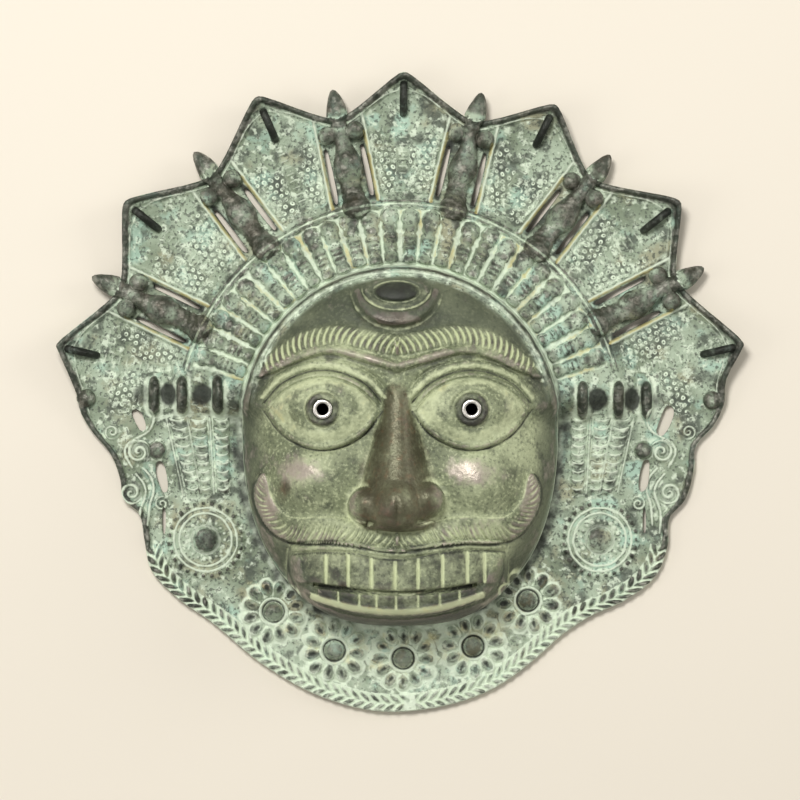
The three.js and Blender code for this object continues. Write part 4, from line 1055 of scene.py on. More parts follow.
    def slot(
        self, x: float, y: float, width: float, length: float, lean: float, squareness: float
    ) -> Solid:
        """An upright cutter whose outline is |x / a|^n + |y / b|^n = 1, so n sets how square it is."""
        t = 2 * np.pi * np.arange(36) / 36
        c, s = np.cos(t), np.sin(t)
        u = 0.5 * width * np.sign(c) * np.abs(c) ** (2 / squareness) * (1 + 0.08 * np.sin(3 * t + x))
        v = 0.5 * length * np.sign(s) * np.abs(s) ** (2 / squareness) * (1 + 0.04 * np.sin(2 * t + y))
        a = math.radians(lean)
        ring = np.column_stack([x + u * math.cos(a) - v * math.sin(a), y + u * math.sin(a) + v * math.cos(a)])
        low = np.column_stack([ring, np.full(36, -5.0)])
        high = np.column_stack([ring, np.full(36, 60.0)])
        k = np.arange(36)
        sides = np.column_stack([k, (k + 1) % 36, (k + 1) % 36 + 36, k + 36]).tolist()
        return np.vstack([low, high]), sides + [list(range(36))[::-1], list(range(36, 72))]


def mesh_object(name: str, vertices: Array, faces: list | Array) -> bpy.types.Object:
    """Makes a linked mesh object with outward faces.

    Args:
        name: the object's name.
        vertices: places in one row each.
        faces: index lists, or one array of quads.

    Returns:
        The object.
    """
    mesh = bpy.data.meshes.new(name)
    if isinstance(faces, np.ndarray):
        mesh.vertices.add(len(vertices))
        mesh.vertices.foreach_set("co", vertices.astype(np.float32).ravel())
        mesh.loops.add(faces.size)
        mesh.loops.foreach_set("vertex_index", faces.astype(np.int32).ravel())
        mesh.polygons.add(len(faces))
        mesh.polygons.foreach_set("loop_start", np.arange(0, faces.size, faces.shape[1], dtype=np.int32))
        mesh.update(calc_edges=True)
    else:
        mesh.from_pydata(vertices.tolist(), [], faces)
        shape = bmesh.new()
        shape.from_mesh(mesh)
        bmesh.ops.recalc_face_normals(shape, faces=shape.faces)
        shape.to_mesh(mesh)
        shape.free()
    mesh.validate()
    made = bpy.data.objects.new(name, mesh)
    bpy.context.scene.collection.objects.link(made)
    return made


def applied(piece: bpy.types.Object) -> bpy.types.Object:
    """Puts the result of a piece's modifiers into its mesh, and removes them."""
    view = bpy.context.evaluated_depsgraph_get()
    mesh = bpy.data.meshes.new_from_object(piece.evaluated_get(view))
    piece.modifiers.clear()
    piece.data = mesh
    return piece


def combined(
    piece: bpy.types.Object, parts: list[Solid], operation: str
) -> bpy.types.Object:
    """Joins solids to a piece or cuts them out of it, one after another.

    Args:
        piece: the closed piece that is changed.
        parts: solids as vertices and faces.
        operation: UNION or DIFFERENCE.

    Returns:
        The piece.
    """
    tools = []
    for index, (vertices, faces) in enumerate(parts):
        tool = mesh_object(f"tool_{index}", vertices, faces)
        step = piece.modifiers.new("step", "BOOLEAN")
        step.solver, step.operation, step.object = "MANIFOLD", operation, tool
        tools.append(tool)
    applied(piece)
    for tool in tools:
        bpy.data.objects.remove(tool)
    return piece


@dataclass
class ReliefMap:
    """The worked front on an even square grid, to find crevices and high spots at known sizes."""

    half: float = 184.0
    pitch: float = 0.5
    fine: float = 0.9
    middle: float = 2.2
    broad: float = 6.0

    def axis(self) -> Array:
        """The grid's places along one side."""
        return np.arange(-self.half, self.half, self.pitch)

    def fill(self, sheet: Sheet) -> None:
        """Keeps the heights, and their difference from three Gaussian blurs of them."""
        n = len(self.axis())
        inside = (sheet.edge > 0.0).reshape(n, n)
        z = np.where(inside, sheet.z.reshape(n, n), 0.0)
        wave = np.fft.fftfreq(n, self.pitch)
        power = wave[:, None] ** 2 + wave[None, :] ** 2
        spectrum = np.fft.fft2(z)
        blur = lambda size: np.fft.ifft2(spectrum * np.exp(-2 * (math.pi * size) ** 2 * power)).real
        near = blur(0.45)
        self.layers = {
            "z": z,
            "fine": near - blur(self.fine),
            "middle": near - blur(self.middle),
            "broad": blur(self.fine) - blur(self.broad),
            "grime": sheet.grime.reshape(n, n),
            "dust_and_light": sheet.dust_and_light.reshape(n, n),
            "soot_and_shade": sheet.soot_and_shade.reshape(n, n),
            "sown": sheet.sown.reshape(n, n),
            "sow_u": sheet.sow_u.reshape(n, n),
            "sow_v": sheet.sow_v.reshape(n, n),
        }

    def read(self, layer: str, x: Array, y: Array) -> Array:
        """One layer at places in the plan, mixed between the four cells round each."""
        values = self.layers[layer]
        fx = np.clip((x + self.half) / self.pitch, 0, len(values) - 1.001)
        fy = np.clip((y + self.half) / self.pitch, 0, len(values) - 1.001)
        i, j = fy.astype(int), fx.astype(int)
        u, v = fx - j, fy - i
        top = values[i, j] * (1 - u) + values[i, j + 1] * u
        low = values[i + 1, j] * (1 - u) + values[i + 1, j + 1] * u
        return top * (1 - v) + low * v


@dataclass
class MaskCasting:
    """The whole casting: the sheet pressed, backed, thinned, joined to its columns and pierced."""

    fan: Fan = field(default_factory=Fan)
    dome: Dome = field(default_factory=Dome)
    nose: Nose = field(default_factory=Nose)
    eyes: Eyes = field(default_factory=Eyes)
    rods: Rods = field(default_factory=Rods)
    turns: int = 1900
    face_rings: int = 115
    flange_rings: int = 190
    back_rings: int = 22
    triangles: int = 149000
    least_wall: float = 1.3
    slit_from: float = 115.0
    slit_to: float = 142.0
    slit_width: float = 2.6
    piercings: tuple[tuple[float, float, float, float, float], ...] = (
        (-131, 2.5, 4.9, 11.8, 24), (-119.5, -26, 5.0, 15.5, 12), (-118.5, -48, 1.8, 14, 0),
        (133, 2, 6.0, 16.5, -22), (122.5, -25.5, 5.0, 16, -8), (122.5, -48, 1.8, 13, 0),
    )

    def press(self, sheet: Sheet) -> None:
        """Works every ornament into the sheet, from the broad dome to the smallest."""
        inside = sheet.in_face
        sheet.z[inside] = self.dome.height(self.fan, sheet.x[inside], sheet.y[inside], 0.0)
        self.nose.press(sheet)
        for side in Side:
            self.eyes.press(sheet, self.dome, side)
            Brows().press(sheet, side)
            Moustache().press(sheet, side)
        Mouth().press(sheet)
        ThirdEye().press(sheet)
        Crown().press(sheet)
        Petals().press(sheet)
        Temple(15.0, Side.LEFT).press(sheet)
        Temple(12.5, Side.RIGHT).press(sheet)
        Bib().press(sheet)
        rough = 0.16 * wobble(sheet.x, sheet.y, 7.0, 1.0) + 0.3 * wobble(sheet.x, sheet.y, 26.0, 2.0)
        sheet.z += rough * np.where(inside, 0.35, 1.0)

    def back(self, x: Array, y: Array) -> Array:
        """The underside: the front's broad form a wall lower, flat where it meets the table."""
        r, angle = np.hypot(x, y), np.degrees(np.arctan2(y, x)) % 360.0
        flange = np.clip(self.fan.flange(r, angle) - self.fan.wall, 0.0, None)
        hollow = self.dome.height(self.fan, x, y, self.fan.wall)
        hollow += self.nose.height(x - self.fan.centre_x, y, self.fan.wall)
        return np.where(r <= self.fan.face(angle) - self.fan.inner_inset + 1e-6, hollow, flange)

    def shell(self) -> bpy.types.Object:
        """Builds the closed sheet on rings that follow the face and the outline.

        Returns:
            The thinned shell, in millimetres about the fan's centre.
        """
        share = 1.0
        n = int(self.turns * share)
        turn = 360.0 * np.arange(n) / n
        face, outline = self.fan.face(turn), self.fan.outline(turn)
        t = np.linspace(0, 1, int(self.face_rings * share) + 1)[1:, None]
        w = np.linspace(0, 1, int(self.flange_rings * share) + 1)[1:, None]
        front = np.vstack([(1 - (1 - t) ** 1.5) * face, face + w * (outline - face)])
        u = np.linspace(1, 0, self.back_rings + 1)[:, None]
        hollow = face - self.fan.inner_inset
        under = np.vstack([hollow + u * (outline - hollow), (1 - (1 - u[1:-1]) ** 1.5) * hollow])
        c, s = np.cos(np.radians(turn)), np.sin(np.radians(turn))
        sheet = Sheet(self.fan, np.append((front * c).ravel(), 0.0), np.append((front * s).ravel(), 0.0))
        self.press(sheet)
        bx, by = np.append((under * c).ravel(), 0.0), np.append((under * s).ravel(), 0.0)
        bz = self.back(bx, by)
        under_front = self.back(sheet.x, sheet.y)
        sheet.z = np.maximum(sheet.z, under_front + self.least_wall)
        top = np.column_stack([sheet.x, sheet.y, sheet.z])
        low = np.column_stack([bx, by, bz])
        vertices = np.vstack([top, low])
        above = np.arange(len(front) * n).reshape(-1, n)
        below = np.arange(len(under) * n).reshape(-1, n) + len(top)
        rings = np.vstack([above, below])
        inner, outer = rings[:-1], rings[1:]
        nxt = lambda a: np.roll(a, -1, axis=1)
        quads = np.stack([inner, outer, nxt(outer), nxt(inner)], axis=-1).reshape(-1, 4)
        tris = np.vstack([quads[:, [0, 1, 2]], quads[:, [0, 2, 3]]])
        first, last = rings[0], rings[-1]
        front_pole, back_pole = len(top) - 1, len(vertices) - 1
        poles = np.vstack([
            np.column_stack([np.full(n, front_pole), first, np.roll(first, -1)]),
            np.column_stack([np.full(n, back_pole), np.roll(last, -1), last]),
        ])
        shell = mesh_object("mask_casting", vertices, np.vstack([tris, poles]))
        thin = shell.modifiers.new("thin", "DECIMATE")
        thin.ratio = min(1.0, self.triangles / (len(tris) + len(poles)))
        return applied(shell)

    def build(self) -> bpy.types.Object:
        """Makes the casting in its final place, with its relief written to attributes.

        Returns:
            The finished piece.
        """
        casting = self.shell()
        LOG.info("sheet: %d triangles", len(casting.data.polygons))
        added = [part for angle in self.fan.column_angles for part in self.rods.column(angle)]
        added += [self.rods.staple(self.fan, angle) for angle in self.fan.petal_angles]
        added += [self.rods.knob(self.fan, *place) for place in self.rods.knobs]
        combined(casting, added, "UNION")
        cutters = []
        for angle in self.fan.column_angles:
            a = math.radians(angle)
            mid = 0.5 * (self.slit_from + self.slit_to)
            for sign in (-1, 1):
                off = sign * Petals().slit_offset
                x, y = mid * math.cos(a) - off * math.sin(a), mid * math.sin(a) + off * math.cos(a)
                length = self.slit_to - self.slit_from
                cutters.append(self.rods.slot(x, y, self.slit_width, length, angle - 90.0, 3.5))
        cutters += [self.rods.slot(*p, 2.6) for p in self.piercings]
        for side in Side:
            x, y = self.eyes.centre(self.fan, side)
            seat = self.eyes.seat_height(self.fan, self.dome, side) - self.eyes.thickness - self.eyes.gap
            cutters.append(self.rods.post(x, y, self.eyes.hole, 0.0, 120.0))
            cutters.append(self.rods.post(x, y, self.eyes.ring + self.eyes.gap, seat, 120.0))
        combined(casting, cutters, "DIFFERENCE")
        LOG.info("casting: %d triangles", len(casting.data.polygons))
        self.write_relief(casting.data)
        self.place(casting.data)
        return casting

    def write_relief(self, mesh: bpy.types.Mesh) -> None:
        """Works out where the patina lies: crevices, high spots bared by wear, the smooth face, and the
        painted shade and painted highlights laid into the colour.
        """
        relief = ReliefMap()
        gx, gy = np.meshgrid(relief.axis(), relief.axis())
        sheet = Sheet(self.fan, gx.ravel(), gy.ravel())
        self.press(sheet)
        relief.fill(sheet)
        co = np.empty(len(mesh.vertices) * 3, np.float32)
        mesh.vertices.foreach_get("co", co)
        x, y, z = co.reshape(-1, 3).T.astype(float)
        r, angle = np.hypot(x, y), np.degrees(np.arctan2(y, x)) % 360.0
        height = relief.read("z", x, y)
        edge = self.fan.outline(angle) - r
        proud = np.where(edge < -0.3, 1.0, smooth(0.6, 1.8, z - height) * (edge > 0.8))
        # Painted shade on faces that lie below the worked front: cut walls, hole walls and the back.
        under = smooth(1.2, 2.2, height - z)
        fine, middle, broad = (relief.read(k, x, y) for k in ("fine", "middle", "broad"))
        share = r / self.fan.face(angle)
        face = smooth(1.01, 0.97, share) * (1.0 - smooth(72.6, 74.4, r) * smooth(10.0, 24.0, y))
        raised = 0.55 * np.tanh(2.2 * fine) + 0.5 * np.tanh(0.9 * middle) + 0.35 * np.tanh(0.3 * broad)
        rim = (1.0 - smooth(0.8, 3.0, edge)) * 0.24
        narrow = 0.6 * np.tanh(2.2 * fine) + 0.55 * np.tanh(0.9 * middle)
        sown = relief.read("sown", x, y)
        roll = bump((r - 76.0) / 3.0) * smooth(10.0, 24.0, y)
        regions = Shading(self.fan)
        crown = smooth(78.5, 80.5, r) * smooth(109.5, 107.5, r) * smooth(16.0, 26.0, y)
        kept = (1.0 - 0.62 * face) * (1.0 - 0.8 * sown) * (1.0 - 0.25 * crown) * (1.0 - roll)
        # Wear bares the metal on the highs; on the face the bared metal is silver-pink, which with the spots
        # above also paints highlights on the cheeks, brow and moustache.
        worn_and_highlight = np.clip(raised * kept + rim + 0.75 * proud + regions.rubbed_and_highlight(x, y), -1.0, 1.3)
        # Painted shade: a strip beside the face's sides, and broad hollows, which are partly dark crust and
        # partly painted shade.
        beside = smooth(9.0, 2.0, r - self.fan.face(angle)) * (share > 1.0) * smooth(30.0, -10.0, y)
        beside *= smooth(-100.0, -60.0, y)
        # Painted light: the lower bib below the chin is painted paler and kept out of the painted shade, as
        # if lit from the front.
        low = smooth(-84.0, -100.0, y) * (1.0 - face)
        deep = 0.35 * smooth(1.5, 4.5, -broad) * (1 - proud) * (1.0 - 0.5 * face) * (1.0 - low)
        deep += 0.42 * beside * (0.8 + 0.5 * wobble(x, y, 11.0, 4.0))
        staple = self.near_staple(x, y) * proud
        layers = {
            "worn_and_highlight": worn_and_highlight,
            "hollow": np.clip(-narrow * (1 - proud) * (1.0 - 0.4 * face) * (1.0 - 0.15 * crown), 0.0, 1.0),
            "face": face,
            "bronze": np.clip(regions.bronze(x, y) + 0.45 * proud, 0.0, 1.0),
            "painted_skin_shade": regions.painted_skin_shade(x, y, share),
            "ochre": np.clip(relief.read("grime", x, y) + regions.ochre(x, y, r, angle), 0.0, 1.0),
            "under": under,
            # Pale salts and marks, with painted light on the lower bib.
            "dust_and_light": (np.maximum(relief.read("dust_and_light", x, y), 0.5 * roll) + 0.38 * low) * (1 - proud),
            "sown": sown * (1 - proud),
            "sow_u": relief.read("sow_u", x, y),
            "sow_v": relief.read("sow_v", x, y),
            "soot_and_shade": np.clip(relief.read("soot_and_shade", x, y) * (1 - proud) + deep + 0.8 * staple, 0.0, 1.0),
        }
        for name, values in layers.items():
            layer = mesh.attributes.new(name, "FLOAT", "POINT")
            layer.data.foreach_set("value", values.astype(np.float32))

    def near_staple(self, x: Array, y: Array) -> Array:
        """1 on the strip under each staple, which runs along its petal's axis, and 0 elsewhere."""
        found = np.zeros_like(x)
        for angle in self.fan.petal_angles:
            a = math.radians(angle)
            p, q = x * math.cos(a) + y * math.sin(a), -x * math.sin(a) + y * math.cos(a)
            on = (p > self.rods.staple_from - 2.0) & (p < self.rods.staple_to + 2.0)
            found[on & (np.abs(q) < 2.6)] = 1.0
        return found

    def place(self, mesh: bpy.types.Mesh) -> None:
        """Moves the mesh from millimetres about the fan's centre to the frame's metres."""
        low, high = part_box("mask")
        co = np.empty(len(mesh.vertices) * 3, np.float32)
        mesh.vertices.foreach_get("co", co)
        co = co.reshape(-1, 3) * MM
        middle = 0.5 * (co.min(axis=0) + co.max(axis=0))
        target = 0.5 * (np.array(low) + np.array(high))
        shift = np.array([target[0] - middle[0], target[1] - middle[1], low[2] - co[:, 2].min()])
        mesh.vertices.foreach_set("co", (co + shift).astype(np.float32).ravel())
        mesh.update()


@dataclass
class Shading:
    """Broad regions of the patina, of painted shade on the skin and of painted highlights, as soft shapes in
    the plan.
    """

    fan: Fan

    def spots(self, x: Array, y: Array, spots: tuple[tuple[float, ...], ...]) -> Array:
        """The greatest of several soft spots: amount x exp(-(dx / wide)^2 - (dy / high)^2)."""
        u = x - self.fan.centre_x
        total = np.zeros_like(x)
        for cx, cy, wide, high, amount in spots:
            total = np.maximum(total, amount * np.exp(-(((u - cx) / wide) ** 2) - ((y - cy) / high) ** 2))
        return total

    def bronze(self, x: Array, y: Array) -> Array:
        """Where handling has bared brown bronze: the nose as it widens, the ear pipes and the brow."""
        wide = 5.5 + 17.0 * smooth(22.0, -36.0, y)
        nose = smooth(1.25, 0.6, np.abs(x - self.fan.centre_x) / wide)
        nose = nose * smooth(30.0, 12.0, y) * smooth(-55.0, -49.0, y)
        return np.maximum(nose, self.spots(x, y, (
            (-56.0, -32.0, 5.0, 7.0, 0.9), (0.0, 51.5, 20.0, 5.0, 0.7), (62.0, -8.0, 10.0, 50.0, 0.3),
            (105.0, 12.0, 24.0, 9.0, 0.3), (-107.0, 14.0, 24.0, 9.0, 0.3), (36.5, 8.0, 11.0, 10.0, 0.45),
        )))

    def rubbed_and_highlight(self, x: Array, y: Array) -> Array:
        """Where the skin turns silver-pink: painted highlights on the cheeks' tops, along the brow and on the
        third eye's lid, and metal bared by rubbing, with painted highlights, along the moustache and at its
        ends.
        """
        return self.spots(x, y, (
            (-48.0, -22.5, 11.0, 6.5, 0.75), (34.5, -22.0, 13.0, 7.5, 0.8), (-63.5, -38.0, 5.0, 13.0, 0.6),
            (64.0, -36.0, 5.0, 11.0, 0.4), (38.0, -53.0, 16.0, 5.0, 0.35), (-38.0, -54.0, 16.0, 4.0, 0.3),
            (0.0, 52.0, 13.0, 3.0, 0.5), (0.0, 33.0, 50.0, 4.0, 0.3),
        ))

    def painted_skin_shade(self, x: Array, y: Array, share: Array) -> Array:
        """Painted shade on the skin: on the forehead under its roll and down both sides of the face.

        Args:
            x, y: points in the plan.
            share: each point's share of the face's radius.
        """
        hair = np.interp(np.abs(x - self.fan.centre_x), *np.array(Brows().hair, float).T)
        brow = 0.85 * smooth(-1.0, 8.0, y - hair) * smooth(0.985, 0.95, share)
        sides = 0.8 * smooth(0.78, 0.94, share) * smooth(34.0, 22.0, y)
        return np.maximum(brow, sides)

    def ochre(self, x: Array, y: Array, r: Array, angle: Array) -> Array:
        """Where yellow earth has settled: the bib's ground, the teeth and the lower lip."""
        bib = smooth(95.0, 108.0, r) * smooth(12.0, 22.0, self.fan.outline(angle) - r)
        bib *= smooth(-60.0, -85.0, y)
        u = x - self.fan.centre_x
        mouth = np.exp(-((u / 48.0) ** 4) - ((y + 82.0) / 13.0) ** 4)
        lip = np.exp(-((u / 42.0) ** 4) - ((y + 90.0 - 0.004 * u * u) / 3.6) ** 2)
        return np.maximum(np.maximum(0.42 * bib, 0.25 * mouth), 0.4 * lip)


def linear(code: str) -> tuple[float, float, float, float]:
    """An sRGB hex colour as linear RGBA."""
    parts = [int(code[k : k + 2], 16) / 255.0 for k in (1, 3, 5)]
    return (*(p / 12.92 if p <= 0.04045 else ((p + 0.055) / 1.055) ** 2.4 for p in parts), 1.0)


def add(tree: Tree, kind: str, inputs: dict | None = None, **settings: object) -> bpy.types.Node:
    """Adds one node.

    Args:
        tree: the material's node tree.
        kind: the node's type.
        inputs: values or sockets for its inputs, by name or index.
        settings: the node's own properties.

    Returns:
        The node.
    """
    made = tree.nodes.new(kind)
    for key, value in settings.items():
        setattr(made, key, value)
    for key, value in (inputs or {}).items():
        if isinstance(value, bpy.types.NodeSocket):
            tree.links.new(value, made.inputs[key])
        else:
            made.inputs[key].default_value = value
    return made


@dataclass(frozen=True)
class Verdigris:
    """Cast bronze with an old patina: bared dark metal on the highs, matt mint-green salts below.

    The salts are a dry powder, so they scatter light with no shine. The bared metal is grey-black
    with a soft gloss from handling. The face keeps a thin smooth olive skin that is silver-pink
    where rubbing has bared it and, on the cheeks, brow and moustache, as a painted highlight; the
    nose is dark brown. Near-black marks give dark parts and painted shade in slits, grooves and
    hollows, the skin has painted shade on the forehead and down its sides, and the lower bib is
    painted paler as painted light.
    """

    mint: str = "#A6B59F"
    sage: str = "#7A8771"
    pale: str = "#D9E6D0"
    shade: str = "#424940"
    near_black: str = "#1C201B"
    olive: str = "#6C7458"
    leaf: str = "#A0A886"
    skin_pale: str = "#C8D0A8"
    skin_deep: str = "#363D2F"
    metal: str = "#33362F"
    steel: str = "#7C7A72"
    silver: str = "#B7AAA0"
    brown: str = "#4A4434"
    rust: str = "#7A4A30"
    earth: str = "#BDB06A"
    khaki: str = "#99977C"
    aqua: str = "#A9CAB9"
    cloud_mm: float = 30.0
    patch_mm: float = 9.0
    fleck_mm: float = 3.2
    grain_mm: float = 1.5

    def mix(self, tree: Tree, factor: object, below: object, above: object) -> Socket:
        """Lays one colour over another by a factor."""
        made = add(tree, "ShaderNodeMix", {0: factor, 6: below, 7: above}, data_type="RGBA")
        return made.outputs[2]

    def ramp(self, tree: Tree, value: object, low: float, high: float, top: float = 1.0) -> object:
        """A smooth step of a value from 0 at low to top at high."""
        made = add(
            tree, "ShaderNodeMapRange", {0: value, 1: low, 2: high, 3: 0.0, 4: top},
            interpolation_type="SMOOTHSTEP",
        )
        return made.outputs[0]

    def noise(self, tree: Tree, place: object, size_mm: float, detail: float, w: float) -> object:
        """Noise whose features are about the given size, with w to tell layers apart."""
        made = add(
            tree, "ShaderNodeTexNoise",
            {"Vector": place, "W": w, "Scale": 1.0 / (size_mm * MM), "Detail": detail}, noise_dimensions="4D",
        )
        return made.outputs[0]

    def shifted(self, tree: Tree, a: object, b: object, share: float) -> object:
        """a + share x (b - 0.5), so that noise shifts a threshold either way."""
        centred = add(tree, "ShaderNodeMath", {0: b, 1: 0.5}, operation="SUBTRACT")
        made = add(tree, "ShaderNodeMath", {0: centred.outputs[0], 1: share, 2: a}, operation="MULTIPLY_ADD")
        return made.outputs[0]

    def times(self, tree: Tree, a: object, b: object) -> object:
        """The product of two values."""
        return add(tree, "ShaderNodeMath", {0: a, 1: b}, operation="MULTIPLY").outputs[0]

    def material(self) -> bpy.types.Material:
        """Builds the patina.

        Returns:
            The material.
        """
        made = bpy.data.materials.new("verdigris_bronze")
        made.use_nodes = True
        tree = made.node_tree
        tree.nodes.clear()
        place = add(tree, "ShaderNodeTexCoord").outputs["Object"]
        at = {
            k: add(tree, "ShaderNodeAttribute", attribute_name=k).outputs["Fac"]
            for k in (
                "worn_and_highlight", "hollow", "face", "bronze", "ochre", "under", "dust_and_light", "soot_and_shade", "painted_skin_shade",
                "sown", "sow_u", "sow_v",
            )
        }
        cloud = self.noise(tree, place, self.cloud_mm, 3.0, 0.0)
        patch = self.noise(tree, place, self.patch_mm, 5.0, 2.0)
        fleck = self.noise(tree, place, self.fleck_mm, 5.0, 9.0)
        grain = self.noise(tree, place, self.grain_mm, 4.0, 5.0)
        ground = self.crust(tree, place, cloud, patch, fleck, grain)
        ground = self.granules(tree, ground, fleck, at)
        skin = self.skin(tree, cloud, patch, grain, at)
        colour = self.mix(tree, at["face"], ground, skin)
        # Bared metal on the highs, silver-pink on the face, where it is partly a painted highlight.
        high = self.shifted(tree, self.shifted(tree, at["worn_and_highlight"], patch, 1.1), fleck, 0.9)
        bared = self.ramp(tree, high, 0.2, 0.8, 0.88)
        handled = self.ramp(tree, self.shifted(tree, at["bronze"], patch, 1.2), 0.3, 1.0, 0.82)
        metal = self.mix(tree, self.ramp(tree, fleck, 0.42, 0.66), linear(self.metal), linear(self.steel))
        metal = self.mix(tree, self.times(tree, at["face"], 0.8), metal, linear(self.silver))
        colour = self.mix(tree, bared, colour, metal)
        brown = self.mix(tree, self.ramp(tree, fleck, 0.5, 0.74, 0.32), linear(self.brown), linear(self.rust))
        colour = self.mix(tree, handled, colour, brown)
        powder = self.ramp(tree, self.shifted(tree, at["hollow"], fleck, 0.8), 0.25, 0.8, 0.8)
        # Pale salts and marks, and painted light on the lower bib.
        settled = self.ramp(tree, self.shifted(tree, at["dust_and_light"], fleck, 0.7), 0.2, 0.75, 0.85)
        dust_and_light = add(tree, "ShaderNodeMath", {0: powder, 1: settled}, operation="MAXIMUM").outputs[0]
        salt = self.mix(tree, at["face"], linear(self.pale), linear(self.skin_pale))
        colour = self.mix(tree, dust_and_light, colour, salt)
        earth = self.shifted(tree, self.shifted(tree, at["ochre"], patch, 1.0), fleck, 0.8)
        earth = self.ramp(tree, earth, 0.35, 0.85, 0.7)
        colour = self.mix(tree, earth, colour, linear(self.earth))
        # Near-black: dark parts of the patina, and painted shade in slits, grooves, hollows and under
        # overhangs.
        soot_and_shade = self.shifted(tree, self.shifted(tree, at["soot_and_shade"], patch, 0.7), fleck, 0.7)
        soot_and_shade = self.ramp(tree, soot_and_shade, 0.2, 0.85, 0.93)
        colour = self.mix(tree, soot_and_shade, colour, linear(self.near_black))
        # Painted shade on cut walls and other faces below the worked front.
        colour = self.mix(tree, self.times(tree, at["under"], 0.75), colour, linear(self.shade))
        shine = add(tree, "ShaderNodeMath", {0: bared, 1: handled}, operation="MAXIMUM").outputs[0]
        bare = add(tree, "ShaderNodeMath", {0: shine, 1: dust_and_light}, operation="SUBTRACT", use_clamp=True)
        shine = bare.outputs[0]
        rough = add(tree, "ShaderNodeMapRange", {0: shine, 1: 0.0, 2: 1.0, 3: 0.7, 4: 0.47}).outputs[0]
        rough = add(
            tree, "ShaderNodeMath", {0: rough, 1: self.times(tree, at["face"], 0.07)}, operation="SUBTRACT"
        ).outputs[0]
        pitted = add(tree, "ShaderNodeMapRange", {0: at["face"], 1: 0.0, 2: 1.0, 3: 0.95, 4: 0.5}).outputs[0]
        pits = add(
            tree, "ShaderNodeBump",
            {"Height": self.shifted(tree, fleck, grain, 0.8), "Strength": pitted, "Distance": 0.7 * MM},
        ).outputs[0]
        shader = add(
            tree, "ShaderNodeBsdfPrincipled",
            {
                "Base Color": colour, "Metallic": self.times(tree, shine, 0.6), "Roughness": rough,
                "Normal": pits,
            },
        )
        add(tree, "ShaderNodeOutputMaterial", {"Surface": shader.outputs[0]})
        return made

    def granules(self, tree: Tree, ground: object, fleck: object, at: dict) -> Socket:
        """The petals' rows of tiny pale rings, each with a painted shadow round it, on the same rows as their
        relief.

        The attributes sow_u and sow_v count rows and places, every other row by half a place more.

        Args:
            tree: the material's node tree.
            ground: the crust's colour.
            fleck: noise that wears some rings away.
            at: the relief's attributes by name.

        Returns:
            The colour.
        """
        def math_of(operation: str, a: object, b: object = 0.0) -> Socket:
            return add(tree, "ShaderNodeMath", {0: a, 1: b}, operation=operation).outputs[0]

        pitch = Petals().ring_pitch
        row = math_of("FLOOR", at["sow_u"])
        half_row = math_of("MULTIPLY", math_of("FLOORED_MODULO", row, 2.0), 0.5)
        place = math_of("FRACT", math_of("ADD", at["sow_v"], half_row))
        squares = []
        for share, size in ((math_of("SUBTRACT", at["sow_u"], row), 0.87 * pitch), (place, pitch)):
            offset = math_of("MULTIPLY", math_of("SUBTRACT", share, 0.5), size)
            squares.append(math_of("POWER", math_of("ABSOLUTE", offset), 2.0))
        away = math_of("SQRT", math_of("ADD", *squares))
        kept = self.times(tree, at["sown"], self.ramp(tree, fleck, 0.62, 0.4))
        shadow = self.times(tree, kept, self.ramp(tree, away, 1.0, 1.5, 0.6))
        ground = self.mix(tree, shadow, ground, linear(self.shade))
        ring = self.times(tree, self.ramp(tree, away, 1.25, 0.85), self.ramp(tree, away, 0.15, 0.6))
        return self.mix(tree, self.times(tree, kept, ring), ground, linear(self.pale))

    def crust(
        self, tree: Tree, place: object, cloud: object, patch: object, fleck: object, grain: object
    ) -> Socket:
        """The mottled green crust of the halo and the bib.

        Args:
            tree: the material's node tree.
            place: the point on the piece.
            cloud, patch, fleck, grain: noises from the broadest to the finest.

        Returns:
            The colour.
        """
        ground = self.mix(tree, self.ramp(tree, cloud, 0.38, 0.62), linear(self.sage), linear(self.mint))
        dry = self.noise(tree, place, 1.6 * self.patch_mm, 4.0, 13.0)
        ground = self.mix(tree, self.ramp(tree, dry, 0.52, 0.68, 0.8), ground, linear(self.khaki))
        ground = self.mix(tree, self.ramp(tree, dry, 0.46, 0.34, 0.65), ground, linear(self.aqua))
        ground = self.mix(tree, self.ramp(tree, patch, 0.5, 0.64, 0.8), ground, linear(self.shade))
        ground = self.mix(tree, self.ramp(tree, fleck, 0.53, 0.64, 0.7), ground, linear(self.pale))
        return self.mix(tree, self.ramp(tree, grain, 0.52, 0.62, 0.75), ground, linear(self.shade))

    def skin(
        self, tree: Tree, cloud: object, patch: object, grain: object, at: dict
    ) -> Socket:
        """The smooth olive skin of the face, paler where dust stays and deep in broad shadow.

        Args:
            tree: the material's node tree.
            cloud, patch, grain: noises from the broadest to the finest.
            at: the relief's attributes by name.

        Returns:
            The colour.
        """
        skin = self.mix(tree, self.ramp(tree, cloud, 0.38, 0.62), linear(self.olive), linear(self.leaf))
        skin = self.mix(tree, self.ramp(tree, patch, 0.5, 0.68, 0.6), skin, linear(self.skin_deep))
        skin = self.mix(tree, self.ramp(tree, grain, 0.46, 0.34, 0.5), skin, linear(self.skin_deep))
        skin = self.mix(tree, self.ramp(tree, grain, 0.52, 0.66, 0.4), skin, linear(self.skin_pale))
        # Painted shade on the forehead and down the face's sides.
        painted_skin_shade = self.ramp(tree, self.shifted(tree, at["painted_skin_shade"], patch, 0.6), 0.1, 0.9, 0.82)
        return self.mix(tree, painted_skin_shade, skin, linear(self.skin_deep))


